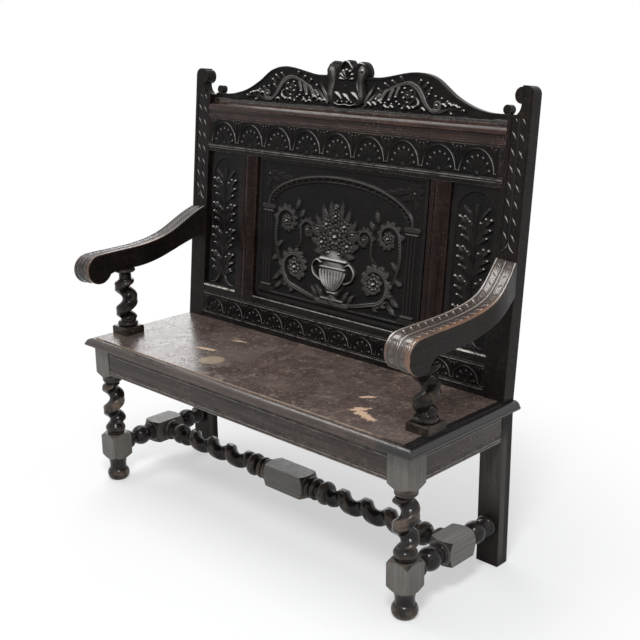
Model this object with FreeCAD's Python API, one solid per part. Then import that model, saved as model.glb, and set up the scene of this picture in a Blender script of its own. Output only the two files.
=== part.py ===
import FreeCAD, Part
import math
import os

os.makedirs("parts", exist_ok=True)

Vector = FreeCAD.Vector

# A carved oak settle bench, in millimetres. X runs along the seat, Y backwards, Z upwards.
# While the pieces are drawn, depth is measured backwards from the faces of the front legs.
# At the end every piece is shifted, so that the origin lies on the floor under the middle.

# Frame under the seat
frame_length = 1200.0
frame_depth = 406.0
leg_side = 64.0
apron_height = 81.0
apron_thickness = 22.0
apron_inset = 2.0
scratch_line_width = 2.4
scratch_line_depth = 1.2
scratch_line_spacing = 6.0
scratch_line_margin = 12.0

# Seat board
seat_height = 450.0
seat_thickness = 22.0
seat_front_overhang = 20.0
seat_end_overhang = 22.0
seat_moulding_width = 24.0
seat_step = 3.0
seat_lip = 6.0
seat_lip_width = 2.0
seat_ovolo_swell = 4.8

# Front legs: bun foot, lower block, rope twist and upper block, from the floor upwards
foot_height = 34.0
foot_sole_radius = 26.0
foot_roundness = 7.5
foot_neck_radius = 25.0
foot_cove = 2.5
foot_cap_radius = 30.0
lower_block_bottom = 70.0
lower_block_height = 78.0
upper_block_height = 94.0
block_shoulder = 9.0
shoulder_step = 1.0
leg_collar_height = 34.0
leg_collar_radius = 29.5
leg_collar_rest_radius = 25.0
leg_collar_quirk = 7.0
leg_cup_height = 26.0
leg_cup_neck_height = 5.0
leg_cup_bowl_height = 10.0
leg_cup_bowl_radius = 28.0
leg_cup_swell = 4.0
leg_neck_radius = 20.0

# Rope twists: one strand that winds round the axis
twist_pitch = 75.0
twist_strand_radius = 22.0
twist_throw = 10.0
twist_fade = 16.0
twist_start_share = 0.35
leg_twist_turn_left = 44.0
leg_twist_turn_right = 342.0
support_twist_turn = 97.0
cross_twist_pitch = 81.5
cross_strand_radius = 21.0
cross_throw = 9.0
cross_twist_turn_left = 125.0
cross_twist_turn_right = 315.0
sections_per_turn = 12
points_per_section = 16

# Stretchers
stretcher_height = 111.0
stretcher_block_side = 65.0
turning_quirk = 2.0
side_block_length = 102.0
side_ball_radius = 30.0
side_ball_offset = 91.0
side_neck_radius = 17.0
side_ring_radius = 28.0
side_ring_rest_radius = 22.0
side_inner_ring_width = 9.0
side_end_ring_width = 20.0
cross_block_length = 152.0
cross_bead_radius = 31.0
cross_ball_radius = 33.0
cross_rest_radius = 23.0
cross_neck_radius = 18.0
cross_bead_width = 17.0
cross_cove_width = 11.0
cross_ball_width = 31.0
cross_end_ball_width = 32.0
cross_end_cove_width = 22.0
tenon_radius = 10.0
tenon_length = 18.0

# Rear posts: upright below the seat, leaning and tapering above it
post_width = 65.0
post_depth = 42.0
post_top_depth = 34.0
back_rake = 5.5
post_top = 759.0
scroll_radius = 20.0
scroll_from_outside = 31.0
scroll_below_top = 23.0
finial_cove_bottom = 685.0
finial_cove_depth = 11.0
finial_corner_radius = 20.0
post_panel_width = 44.0
post_panel_depth = 2.0
post_panel_bottom = 367.0
post_panel_top = 682.0

# Back frame, heights along the leaning back from the seat upwards
back_inset = 2.0
rail_thickness = 32.0
bottom_rail_height = 98.0
panel_opening_height = 419.0
frieze_height = 96.0
cornice_height = 53.0
bead_width = 5.0
bead_depth = 2.5
bottom_bead_low = 13.0
bottom_bead_high = 72.0
frieze_bead_low = 13.0
sill_width = 7.0
sill_swell = 2.5
panel_thickness = 12.0
panel_recess = 12.0
panel_tongue = 8.0
muntin_width = 64.0
side_panel_width = 151.0
muntin_round_width = 34.0
muntin_round_height = 7.0
muntin_bead_width = 5.0
muntin_bead_height = 2.0
muntin_quirk = 1.0
muntin_face_recess = 6.0
muntin_plinth_width = 80.0
muntin_plinth_height = 20.0
muntin_plinth_proud = 1.0

# Cornice, from its foot upwards, and crest; the places along the crest are shares of its reach
cornice_nose = 4.0
cornice_fillet_height = 6.0
cornice_fillet_depth = 3.0
cornice_step_height = 5.0
cornice_cove_height = 18.0
cornice_cove_depth = 3.0
cornice_edge_height = 2.0
cornice_ovolo_swell = 6.0
cornice_cap_height = 3.0
cornice_cap_width = 6.0
crest_thickness = 17.0
crest_lip_height = 10.0
crest_lip_depth = 5.0
crest_lip_slope = 3.0
crest_end_rise = 24.0
crest_shoulder_rise = 40.0
crest_peak_rise = 111.0
crest_dip_rise = 93.0
crest_dip_end = 0.22
crest_swell_at = 0.34
crest_swell_over_dip = 1.1
crest_peak_at = 0.465
crest_brow_at = 0.59
crest_brow_under_peak = 0.91
crest_slope_at = 0.70
crest_slope_hollow = 0.88
crest_shoulder_at = 0.81
crest_tail_at = 0.94
crest_tail_over_end = 1.04
crest_end_from_post = 42.0
crest_roll_radius = 12.0
crest_roll_from_post = 19.0
crest_roll_proud = 2.0
crest_roll_bedding = 1.5
cartouche_height = 134.0
cartouche_thickness = 12.0
cartouche_foot_half = 35.0
cartouche_belly_half = 72.0
cartouche_belly_rise = 22.0
cartouche_waist_half = 62.0
cartouche_waist_below_top = 56.0
cartouche_ear_half = 76.0
cartouche_ear_below_top = 32.0
cartouche_ear_top_half = 50.0
cartouche_ear_top_below_top = 3.0
cartouche_valley_half = 24.0
cartouche_valley_below_top = 12.0
cartouche_bud_half = 13.0
cartouche_foot_bulge = 3.0
cartouche_side_bulge = 4.0
cartouche_ear_bulge = 9.0
cartouche_ear_top_bulge = 5.0

# Arms and their supports; the sweeps are shares of an arm's span behind its support and of its rise,
# and the places of its bow are shares of its whole depth
arm_support_height = 202.0
arm_underside = seat_height + arm_support_height
arm_thickness = 58.0
arm_back_rise = 89.0
arm_back_thickness = 83.0
arm_rest_height = arm_underside + arm_thickness
arm_back_height = arm_rest_height + arm_back_rise
arm_back_underside = arm_back_height - arm_back_thickness
arm_roll_radius = 41.0
arm_roll_drop = 43.0
arm_roll_centre_depth = 8.0
arm_roll_centre_height = arm_rest_height - arm_roll_drop
arm_roll_throat = 28.0
arm_back_width = 62.0
arm_front_width = 74.0
arm_bow = 27.0
arm_front_bow = 26.0
arm_outer_fall = 6.0
arm_front_bow_end = 0.3
arm_bow_start = 0.6
arm_bow_end = 0.75
arm_bow_back_at = 0.88
arm_bow_back_share = 0.62
arm_run_out_at = 1.05
arm_bow_run_out = 0.3
arm_left_lower = 5.0
arm_top_sweep = [(0.14, 0.02), (0.405, 0.107), (0.64, 0.33), (0.81, 0.655)]
arm_under_sweep = [(0.81, 0.74), (0.64, 0.44), (0.405, 0.14)]
arm_saw_margin = 20.0
support_block_side = 66.0
support_block_height = 23.0
support_block_chamfer = 3.0
support_depth = 101.0
support_from_end = 33.0
support_ring_height = 16.0
support_ring_radius = 30.0
support_ring_rest_radius = 24.0
support_neck_radius = 18.0
support_neck_height = 14.0
support_cap_height = 16.0
support_cap_radius = 31.0
support_cap_flare = 8.0
support_cap_swell = 2.0
support_landing_front = 8.0
support_landing_back = 16.0

# Points closer than this are one point
same_point = 1e-6

# Places that follow from the sizes above
half_length = frame_length / 2
seat_underside = seat_height - seat_thickness
apron_bottom = seat_underside - apron_height
leg_axis = half_length - leg_side / 2
leg_axis_depth = leg_side / 2
upper_block_bottom = seat_underside - upper_block_height
lower_block_top = lower_block_bottom + lower_block_height
post_front = frame_depth - post_depth
post_inside = half_length - post_width
muntin_from_middle = post_inside - side_panel_width - muntin_width / 2
rake = math.radians(back_rake)
seat_half_length = half_length + seat_end_overhang
opening_top = bottom_rail_height + panel_opening_height
frieze_top = opening_top + frieze_height
cornice_top = frieze_top + cornice_height
rail_back = back_inset + rail_thickness
panel_front = back_inset + panel_recess
crest_front = post_depth - crest_thickness
stretcher_depth = (leg_side + post_front) / 2
arm_inner_side = half_length + arm_front_bow - arm_front_width
support_from_middle = half_length - support_from_end


def stations_to_edges(stations, place, closed=True):
    """Join (a, b) or (a, b, bulge) stations with lines, or with arcs that stand bulge off the chord."""
    edges = []
    following = stations[1:] + stations[:1] if closed else stations[1:]
    for start, finish in zip(stations, following):
        first = place(start[0], start[1])
        last = place(finish[0], finish[1])
        if first.isEqual(last, same_point):
            continue
        if len(start) == 3 and start[2]:
            along = (finish[0] - start[0], finish[1] - start[1])
            length = math.hypot(*along)
            middle_a = (start[0] + finish[0]) / 2 + along[1] / length * start[2]
            middle_b = (start[1] + finish[1]) / 2 - along[0] / length * start[2]
            edges.append(Part.Arc(first, place(middle_a, middle_b), last).toShape())
        else:
            edges.append(Part.LineSegment(first, last).toShape())
    return edges


def prism(stations, place, travel):
    """Extrude a closed outline."""
    return Part.Face(Part.Wire(stations_to_edges(stations, place))).extrude(travel)


def along_x(stations, x_start, x_end):
    """Prism of a (y, z) outline between two places along X."""
    return prism(stations, lambda y, z: Vector(x_start, y, z), Vector(x_end - x_start, 0, 0))


def along_y(stations, y_start, y_end):
    """Prism of an (x, z) outline between two depths."""
    return prism(stations, lambda x, z: Vector(x, y_start, z), Vector(0, y_end - y_start, 0))


def along_z(stations, z_start, z_end):
    """Prism of an (x, y) outline between two heights."""
    return prism(stations, lambda x, y: Vector(x, y, z_start), Vector(0, 0, z_end - z_start))


def block(x_start, x_end, y_start, y_end, z_start, z_end):
    """Rectangular block between two corners."""
    corner = Vector(x_start, y_start, z_start)
    return Part.makeBox(x_end - x_start, y_end - y_start, z_end - z_start, corner)


def bead(rest, crest, z_start, z_end):
    """Stations of a turned bead that swells from its rest radius to its crest radius."""
    return [(rest, z_start, crest - rest), (rest, z_end)]


def turned(stations):
    """Solid of revolution about Z through (radius, z) stations."""
    closed = [(0.0, stations[0][1])] + stations + [(0.0, stations[-1][1])]
    face = Part.Face(Part.Wire(stations_to_edges(closed, lambda r, z: Vector(r, 0, z))))
    return face.revolve(Vector(0, 0, 0), Vector(0, 0, 1), 360)


def fused(pieces):
    """One clean solid out of several that meet."""
    return pieces[0].fuse(pieces[1:]).removeSplitter()


def quarter_sag(radius):
    """Height of a quarter circle over its chord."""
    return radius * (1 - math.sqrt(0.5))


def shouldered_block(side, z_start, z_end):
    """Square block whose corners are turned away at both ends."""
    corner = side / math.sqrt(2)
    inner = side / 2 + shoulder_step
    lathe = turned([
        (inner, z_start),
        (corner, z_start + block_shoulder),
        (corner, z_end - block_shoulder),
        (inner, z_end),
    ])
    return block(-side / 2, side / 2, -side / 2, side / 2, z_start, z_end).common(lathe)


def strand_section(centre, angle, radial, sideways):
    """Level oval about a centre that lies at an angle from the axis, with its half widths out and across."""
    outline = []
    for step in range(points_per_section):
        turn = 2 * math.pi * step / points_per_section - angle
        outward = radial * math.cos(turn)
        across = sideways * math.sin(turn)
        outline.append(centre + Vector(outward * math.cos(angle) - across * math.sin(angle),
                                       outward * math.sin(angle) + across * math.cos(angle), 0))
    shares = [step / points_per_section for step in range(points_per_section + 1)]
    curve = Part.BSplineCurve()
    curve.interpolate(Points=outline, PeriodicFlag=True, Parameters=shares)
    return Part.Wire(curve.toShape())


def rope_twist(z_start, z_end, pitch, strand, throw, turn):
    """Strand, round across its own run, that winds right-handed round Z from an angle at z_start."""
    count = math.ceil((z_end - z_start) / pitch * sections_per_turn)
    wires = []
    for step in range(count + 1):
        z = z_start + (z_end - z_start) * step / count
        angle = math.radians(turn) + 2 * math.pi * (z - z_start) / pitch
        nearest_end = min(z - z_start, z_end - z)
        reach = throw * min(1.0, twist_start_share + nearest_end / twist_fade)
        slant = math.atan2(pitch, 2 * math.pi * reach)
        centre = Vector(reach * math.cos(angle), reach * math.sin(angle), z)
        wires.append(strand_section(centre, angle, strand, strand / math.sin(slant)))
    return Part.makeLoft(wires, True, False)


def laid_along_x(shape):
    """Turn a piece that was drawn upright so that its axis runs along X."""
    shape.rotate(Vector(0, 0, 0), Vector(0, 1, 0), 90)
    return shape


def laid_along_y(shape):
    """Turn a piece that was drawn upright so that its axis runs backwards along Y."""
    shape.rotate(Vector(0, 0, 0), Vector(1, 0, 0), -90)
    return shape


def moved(shape, x, y, z):
    """Shift a piece and return it."""
    shape.translate(Vector(x, y, z))
    return shape


def mirrored(shape):
    """The piece for the other end of the bench."""
    return shape.mirror(Vector(0, 0, 0), Vector(1, 0, 0))


def leaned(shape):
    """Lean a piece of the back, drawn with Y as its depth and Z as the height above the seat."""
    shape.rotate(Vector(0, 0, 0), Vector(1, 0, 0), -back_rake)
    return moved(shape, 0, post_front, seat_height)


def post_face_depth(z):
    """Depth of the leaning front face of the posts at a height."""
    return post_front + (z - seat_height) * math.tan(rake)


def round_tenon(length):
    """Round tenon that stands on the floor of its own frame."""
    return Part.makeCylinder(tenon_radius, length)


def smooth(points):
    """Spline edge through points."""
    curve = Part.BSplineCurve()
    curve.interpolate(points)
    return curve.toShape()


def front_leg(turn):
    """Front leg on its own axis: bun foot, blocks, collar, rope twist and cup."""
    foot = turned([
        (foot_sole_radius, 0, foot_roundness),
        (foot_neck_radius, foot_height, -foot_cove),
        (foot_cap_radius, lower_block_bottom),
    ])
    lower = shouldered_block(leg_side, lower_block_bottom, lower_block_top)
    collar_top = lower_block_top + leg_collar_height
    ring_start = lower_block_top + leg_collar_quirk
    ring_end = collar_top - leg_collar_quirk
    collar = turned([(leg_collar_rest_radius, lower_block_top)]
                    + bead(leg_collar_rest_radius, leg_collar_radius, ring_start, ring_end)
                    + [(leg_neck_radius, collar_top)])
    cup_bottom = upper_block_bottom - leg_cup_height
    bowl_bottom = cup_bottom + leg_cup_neck_height
    cup = turned([
        (leg_neck_radius, cup_bottom),
        (leg_neck_radius, bowl_bottom, leg_cup_swell),
        (leg_cup_bowl_radius, bowl_bottom + leg_cup_bowl_height),
        (leg_side / 2, upper_block_bottom),
    ])
    twist = rope_twist(collar_top, cup_bottom, twist_pitch, twist_strand_radius, twist_throw, turn)
    upper = shouldered_block(leg_side, upper_block_bottom, seat_underside)
    half = leg_side / 2
    square = block(-half, half, -half, half, upper_block_bottom + block_shoulder, seat_underside)
    return fused([foot, lower, collar, twist, cup, upper, square])


def side_half_turning(z_start, z_end):
    """Turned half of a side stretcher between its block and the leg: ring, ball, neck and end ring."""
    ball_half = math.sqrt(side_ball_radius ** 2 - side_neck_radius ** 2)
    inner_ring_start = z_start + turning_quirk
    end_ring_end = z_end - turning_quirk
    return turned([(side_ring_rest_radius, z_start)]
                  + bead(side_ring_rest_radius, side_ring_radius, inner_ring_start,
                         inner_ring_start + side_inner_ring_width)
                  + bead(side_neck_radius, side_ball_radius, side_ball_offset - ball_half,
                         side_ball_offset + ball_half)
                  + bead(side_ring_rest_radius, side_ring_radius, end_ring_end - side_end_ring_width,
                         end_ring_end)
                  + [(side_ring_rest_radius, z_end)])


def side_stretcher():
    """Side stretcher about its middle, along Z: block between two turned halves, tenons at the ends."""
    half = (post_front - leg_side) / 2
    block_half = side_block_length / 2
    middle = shouldered_block(stretcher_block_side, -block_half, block_half)
    upper = side_half_turning(block_half, half)
    lower = upper.mirror(Vector(0, 0, 0), Vector(0, 0, 1))
    tenons = [moved(round_tenon(tenon_length), 0, 0, half),
              moved(round_tenon(tenon_length), 0, 0, -half - tenon_length)]
    return fused([middle, upper, lower] + tenons)


def cross_half(z_start, z_end, turn):
    """Half of the cross stretcher from its middle block out to a side block."""
    rest = cross_rest_radius
    first = z_start + turning_quirk
    second = first + cross_bead_width + turning_quirk
    cove_end = second + cross_bead_width + cross_cove_width
    twist_start = cove_end + cross_ball_width
    inner = turned([(rest, z_start)]
                   + bead(rest, cross_bead_radius, first, first + cross_bead_width)
                   + bead(rest, cross_bead_radius, second, second + cross_bead_width)
                   + [(cross_neck_radius, cove_end - turning_quirk)]
                   + bead(rest, cross_ball_radius, cove_end, twist_start)
                   + [(cross_neck_radius, twist_start + turning_quirk)])
    end_bead = z_end - turning_quirk - cross_bead_width
    end_ball = end_bead - cross_end_cove_width
    twist_end = end_ball - cross_end_ball_width
    outer = turned([(cross_neck_radius, twist_end - turning_quirk)]
                   + bead(rest, cross_bead_radius, twist_end, end_ball)
                   + [(cross_neck_radius, (end_ball + end_bead) / 2)]
                   + bead(rest, cross_bead_radius, end_bead, end_bead + cross_bead_width)
                   + [(rest, z_end)])
    twist = rope_twist(twist_start, twist_end, cross_twist_pitch, cross_strand_radius, cross_throw, turn)
    return fused([inner, twist, outer])


def cross_stretcher():
    """Cross stretcher about its middle, along Z, with tenons that enter the side blocks."""
    half = leg_axis - stretcher_block_side / 2
    block_half = cross_block_length / 2
    middle = shouldered_block(stretcher_block_side, -block_half, block_half)
    right = cross_half(block_half, half, cross_twist_turn_right)
    left = cross_half(block_half, half, cross_twist_turn_left)
    left.rotate(Vector(0, 0, 0), Vector(1, 0, 0), 180)
    tenons = [moved(round_tenon(tenon_length), 0, 0, half),
              moved(round_tenon(tenon_length), 0, 0, -half - tenon_length)]
    return fused([middle, right, left] + tenons)


def scratch_lines(face, z_bottom, z_top):
    """Outline of a board's section with two pairs of scratched lines in its front face."""
    stations = [(face, z_bottom)]
    pairs = [z_bottom + scratch_line_margin, z_top - scratch_line_margin - scratch_line_spacing]
    for pair in pairs:
        for line in (pair, pair + scratch_line_spacing):
            stations.append((face, line - scratch_line_width / 2))
            stations.append((face + scratch_line_depth, line))
            stations.append((face, line + scratch_line_width / 2))
    stations.append((face, z_top))
    stations.append((face + apron_thickness, z_top))
    stations.append((face + apron_thickness, z_bottom))
    return stations


def front_apron():
    """Apron between the front legs."""
    reach = half_length - leg_side
    return along_x(scratch_lines(apron_inset, apron_bottom, seat_underside), -reach, reach)


def rear_apron():
    """Plain apron between the rear posts."""
    face = post_front + (post_depth - apron_thickness) / 2
    return block(-post_inside, post_inside, face, face + apron_thickness, apron_bottom, seat_underside)


def side_apron():
    """Apron at the right end, its scratched face outwards."""
    section = scratch_lines(apron_inset, apron_bottom, seat_underside)
    stations = [(half_length - face, z) for face, z in section]
    return along_y(stations, leg_side, post_front)


def seat_edge(outer, direction):
    """Stations of the seat's moulded edge, from its underside up to its top."""
    top_in = outer - direction * seat_moulding_width
    shelf_in = outer - direction * (seat_moulding_width - seat_step)
    lip_in = outer - direction * seat_lip_width
    return [
        (outer, seat_underside),
        (outer, seat_underside + seat_lip),
        (lip_in, seat_underside + seat_lip, direction * seat_ovolo_swell),
        (shelf_in, seat_height - seat_step),
        (top_in, seat_height - seat_step),
        (top_in, seat_height),
    ]


def reversed_arcs(stations):
    """The same open run of stations walked the other way, its arcs on the same side."""
    backwards = []
    for index in range(len(stations) - 1, -1, -1):
        bulge = stations[index - 1][2] if index and len(stations[index - 1]) == 3 else 0
        backwards.append((stations[index][0], stations[index][1], -bulge))
    return backwards


def seat_board():
    """Seat with a moulded edge on the front and both ends, notched round the posts later."""
    ends = seat_edge(seat_half_length, 1)
    ends += [(-x, z, -bulge) for x, z, bulge in reversed_arcs(ends)]
    front = reversed_arcs(seat_edge(-seat_front_overhang, -1))
    front.append((-seat_front_overhang, seat_underside))
    front.append((frame_depth, seat_underside))
    front.append((frame_depth, seat_height))
    lengthwise = along_x(front, -seat_half_length, seat_half_length)
    crosswise = along_y(ends, -seat_front_overhang, frame_depth)
    return lengthwise.common(crosswise)


def post():
    """Right rear post: upright leg, leaning stile and rolled finial in one piece."""
    kink = post_depth * math.tan(rake / 2)
    lower = along_x([
        (post_front, 0),
        (frame_depth, 0),
        (frame_depth, seat_height - kink),
        (post_front + post_depth * math.cos(rake), seat_height - post_depth * math.sin(rake)),
        (post_front, seat_height),
    ], post_inside, half_length)
    scroll_x = half_length - scroll_from_outside
    scroll_z = post_top - scroll_below_top
    corner = finial_corner_radius
    face = along_y([
        (post_inside, 0),
        (half_length, 0),
        (half_length, post_top - corner, quarter_sag(corner)),
        (half_length - corner, post_top),
        (scroll_x, post_top),
        (scroll_x, scroll_z - scroll_radius, -finial_cove_depth),
        (post_inside, finial_cove_bottom),
    ], 0, post_depth)
    scroll = moved(laid_along_y(Part.makeCylinder(scroll_radius, post_depth)), scroll_x, 0, scroll_z)
    taper = along_x([
        (0, 0),
        (post_depth, 0),
        (post_top_depth, post_top),
        (0, post_top),
    ], post_inside - scroll_radius, half_length)
    stile = fused([face, scroll]).common(taper)
    middle = (post_inside + half_length) / 2
    left = middle - post_panel_width / 2
    right = middle + post_panel_width / 2
    sunk = along_y([
        (middle, post_panel_bottom - post_panel_width / 2),
        (right, post_panel_bottom),
        (right, post_panel_top),
        (left, post_panel_top),
        (left, post_panel_bottom),
    ], 0, post_panel_depth)
    return fused([lower, leaned(stile.cut(sunk))])


def beaded_face(height, beads):
    """Section of a back rail with pairs of beads that stand on its front face."""
    stations = [(back_inset, 0)]
    for low in beads:
        for start in (low, low + bead_width):
            stations.append((back_inset, start, -bead_depth))
            stations.append((back_inset, start + bead_width))
    stations.append((back_inset, height))
    stations.append((rail_back, height))
    stations.append((rail_back, 0))
    return stations


def bottom_rail():
    """Rail on the seat, with two pairs of beads."""
    section = beaded_face(bottom_rail_height, [bottom_bead_low, bottom_bead_high])
    return along_x(section, -post_inside, post_inside)


def frieze_rail():
    """Rail over the panels, with one pair of beads along its foot."""
    section = beaded_face(frieze_height, [frieze_bead_low])
    return moved(along_x(section, -post_inside, post_inside), 0, 0, opening_top)


def cornice():
    """Cornice moulding between the posts: fillets, cove and bold ovolo up to the crest."""
    fillet_top = frieze_top + cornice_fillet_height
    cove_bottom = fillet_top + cornice_step_height
    cove_top = cove_bottom + cornice_cove_height
    ovolo_bottom = cove_top + cornice_edge_height
    fillet_face = back_inset - cornice_fillet_depth
    cap_front = crest_front - cornice_cap_width
    return along_x([
        (back_inset, frieze_top),
        (back_inset, fillet_top),
        (fillet_face, fillet_top),
        (fillet_face, cove_bottom, cornice_cove_depth),
        (back_inset - cornice_nose, cove_top),
        (-cornice_nose, ovolo_bottom, -cornice_ovolo_swell),
        (cap_front, cornice_top - cornice_cap_height),
        (cap_front, cornice_top),
        (post_depth, cornice_top),
        (post_depth, cove_bottom),
        (rail_back, frieze_top),
    ], -post_inside, post_inside)


def crest_curve():
    """Upper edge of the right half of the crest board, from the cartouche out to its end."""
    reach = post_inside - crest_end_from_post
    slope_middle = (crest_peak_rise + crest_shoulder_rise) / 2
    sweep = [
        (0.0, crest_dip_rise),
        (crest_dip_end, crest_dip_rise),
        (crest_swell_at, crest_dip_rise * crest_swell_over_dip),
        (crest_peak_at, crest_peak_rise),
        (crest_brow_at, crest_peak_rise * crest_brow_under_peak),
        (crest_slope_at, slope_middle * crest_slope_hollow),
        (crest_shoulder_at, crest_shoulder_rise),
        (crest_tail_at, crest_end_rise * crest_tail_over_end),
        (1.0, crest_end_rise),
    ]
    return [Vector(reach * share, crest_front, cornice_top + rise) for share, rise in sweep]


def crest_board():
    """Crest board that stands on the cornice: swept outline with a small roll at each end."""
    upper = crest_curve()
    corners = [
        Vector(post_inside, crest_front, cornice_top + crest_end_rise),
        Vector(post_inside, crest_front, cornice_top),
        Vector(0, crest_front, cornice_top),
    ]
    edges = [Part.LineSegment(upper[0], upper[1]).toShape(), smooth(upper[1:])]
    for start, finish in zip([upper[-1]] + corners, corners + [upper[0]]):
        edges.append(Part.LineSegment(start, finish).toShape())
    half = Part.Face(Part.Wire(edges)).extrude(Vector(0, crest_thickness, 0))
    roll = laid_along_y(Part.makeCylinder(crest_roll_radius, crest_thickness + crest_roll_proud))
    roll_height = cornice_top + crest_end_rise + crest_roll_radius - crest_roll_bedding
    half = fused([half, moved(roll, post_inside - crest_roll_from_post, crest_front - crest_roll_proud,
                              roll_height)])
    return fused([half, mirrored(half)])


def crest_lip():
    """Plain fillet along the foot of the crest, in front of the board."""
    return along_x([
        (crest_front - crest_lip_depth, cornice_top),
        (crest_front - crest_lip_depth, cornice_top + crest_lip_height - crest_lip_slope),
        (crest_front, cornice_top + crest_lip_height),
        (crest_front, cornice_top),
    ], -post_inside, post_inside)


def cartouche():
    """Shield in the middle of the crest, with a bud and two ears that reach back over the board."""
    low = cornice_top + crest_lip_height
    high = cornice_top + cartouche_height
    right = [
        (0, low, 0),
        (cartouche_foot_half, low, cartouche_foot_bulge),
        (cartouche_belly_half, low + cartouche_belly_rise, cartouche_side_bulge),
        (cartouche_waist_half, high - cartouche_waist_below_top, -cartouche_side_bulge),
        (cartouche_ear_half, high - cartouche_ear_below_top, cartouche_ear_bulge),
        (cartouche_ear_top_half, high - cartouche_ear_top_below_top, cartouche_ear_top_bulge),
        (cartouche_valley_half, high - cartouche_valley_below_top, 0),
        (cartouche_bud_half, high, 0),
        (0, high, 0),
    ]
    left = [(-x, z, -bulge) for x, z, bulge in reversed_arcs(right)]
    return along_y(right[:-1] + left[:-1], crest_front - cartouche_thickness, post_depth)


def muntin(middle):
    """Upright between two panels: a half-round between beads and flats, on a small plinth."""
    half = muntin_width / 2
    round_half = muntin_round_width / 2
    bead_inner = round_half + muntin_quirk
    bead_outer = bead_inner + muntin_bead_width
    face = muntin_face_recess
    shaft = along_z([
        (middle - half, face),
        (middle - bead_outer, face, muntin_bead_height),
        (middle - bead_inner, face),
        (middle - round_half, face, muntin_round_height),
        (middle + round_half, face),
        (middle + bead_inner, face, muntin_bead_height),
        (middle + bead_outer, face),
        (middle + half, face),
        (middle + half, rail_back),
        (middle - half, rail_back),
    ], bottom_rail_height, opening_top)
    plinth_half = muntin_plinth_width / 2
    plinth = block(middle - plinth_half, middle + plinth_half, back_inset - muntin_plinth_proud, panel_front,
                   bottom_rail_height, bottom_rail_height + muntin_plinth_height)
    return fused([shaft, plinth])


def panel(left, right):
    """Flat panel with tongues all round that enter the frame's grooves."""
    return block(left - panel_tongue, right + panel_tongue, panel_front, panel_front + panel_thickness,
                 bottom_rail_height - panel_tongue, opening_top + panel_tongue)


def sill(left, right):
    """Rounded sill bead in front of a panel, on the bottom rail."""
    return along_x([
        (back_inset, bottom_rail_height, -sill_swell),
        (back_inset, bottom_rail_height + sill_width),
        (panel_front, bottom_rail_height + sill_width),
        (panel_front, bottom_rail_height),
    ], left, right)


def arm_section(x, fall):
    """Side view of an arm at a place along X, with its top and its roll lowered by fall."""
    def side(y, z):
        return Vector(x, y, z)

    roll_y = arm_roll_centre_depth
    roll_z = arm_roll_centre_height - fall
    radius = arm_roll_radius
    diagonal = radius * math.sqrt(0.5)
    throat = math.radians(arm_roll_throat)
    roll_exit = side(roll_y + radius * math.cos(throat), roll_z - radius * math.sin(throat))
    roll_front = side(roll_y - radius, roll_z)
    roll_top = side(roll_y, roll_z + radius)
    landing_front = side(support_depth - support_cap_radius - support_landing_front, arm_underside)
    landing_back = side(support_depth + support_cap_radius + support_landing_back, arm_underside)
    back_top = arm_back_height - fall
    rest_top = arm_rest_height - fall
    span = post_face_depth(back_top) - support_depth
    rise = back_top - rest_top
    drop = arm_back_underside - arm_underside
    top_points = [roll_top, side((roll_y + support_depth) / 2, rest_top)]
    for along, up in arm_top_sweep:
        top_points.append(side(support_depth + span * along, rest_top + rise * up))
    top_points.append(side(post_face_depth(back_top), back_top))
    under_points = [side(post_face_depth(arm_back_underside), arm_back_underside)]
    for along, up in arm_under_sweep:
        under_points.append(side(support_depth + span * along, arm_underside + drop * up))
    under_points.append(landing_back)
    return Part.Wire([
        smooth(top_points),
        Part.LineSegment(top_points[-1], under_points[0]).toShape(),
        smooth(under_points),
        Part.LineSegment(landing_back, landing_front).toShape(),
        Part.LineSegment(landing_front, roll_exit).toShape(),
        Part.Arc(roll_exit, side(roll_y, roll_z - radius), roll_front).toShape(),
        Part.Arc(roll_front, side(roll_y - diagonal, roll_z + diagonal), roll_top).toShape(),
    ])


def arm():
    """Right arm: swept side view that falls outwards, sawn to a bowed plan."""
    fall_slope = arm_outer_fall / arm_front_width
    plank_inside = arm_inner_side - arm_saw_margin
    plank_outside = half_length + arm_bow + arm_saw_margin
    plank = Part.makeLoft([
        arm_section(plank_inside, (plank_inside - arm_inner_side) * fall_slope),
        arm_section(plank_outside, (plank_outside - arm_inner_side) * fall_slope),
    ], True, True)

    front = arm_roll_centre_depth - arm_roll_radius
    reach = post_face_depth(arm_back_height) - front
    bow_plan = [(0.0, arm_front_bow), (arm_front_bow_end, arm_front_bow), (arm_bow_start, arm_bow),
                (arm_bow_end, arm_bow), (arm_bow_back_at, arm_bow * arm_bow_back_share), (1.0, 0.0),
                (arm_run_out_at, -arm_bow * arm_bow_run_out)]
    low = arm_roll_centre_height - arm_roll_radius * 2
    outer = []
    inner = []
    for share, bow in bow_plan:
        width = arm_front_width + (arm_back_width - arm_front_width) * min(1.0, share)
        outer.append(Vector(half_length + bow, front + reach * share, low))
        inner.append(Vector(half_length + bow - width, front + reach * share, low))
    start_outer = Vector(outer[0].x, front - arm_saw_margin, low)
    start_inner = Vector(inner[0].x, front - arm_saw_margin, low)
    plan = Part.Wire([
        Part.LineSegment(start_inner, start_outer).toShape(),
        smooth([start_outer] + outer),
        Part.LineSegment(outer[-1], inner[-1]).toShape(),
        smooth(inner[::-1] + [start_inner]),
    ])
    plan_height = arm_back_height + arm_saw_margin - low
    return plank.common(Part.Face(plan).extrude(Vector(0, 0, plan_height)))


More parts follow.
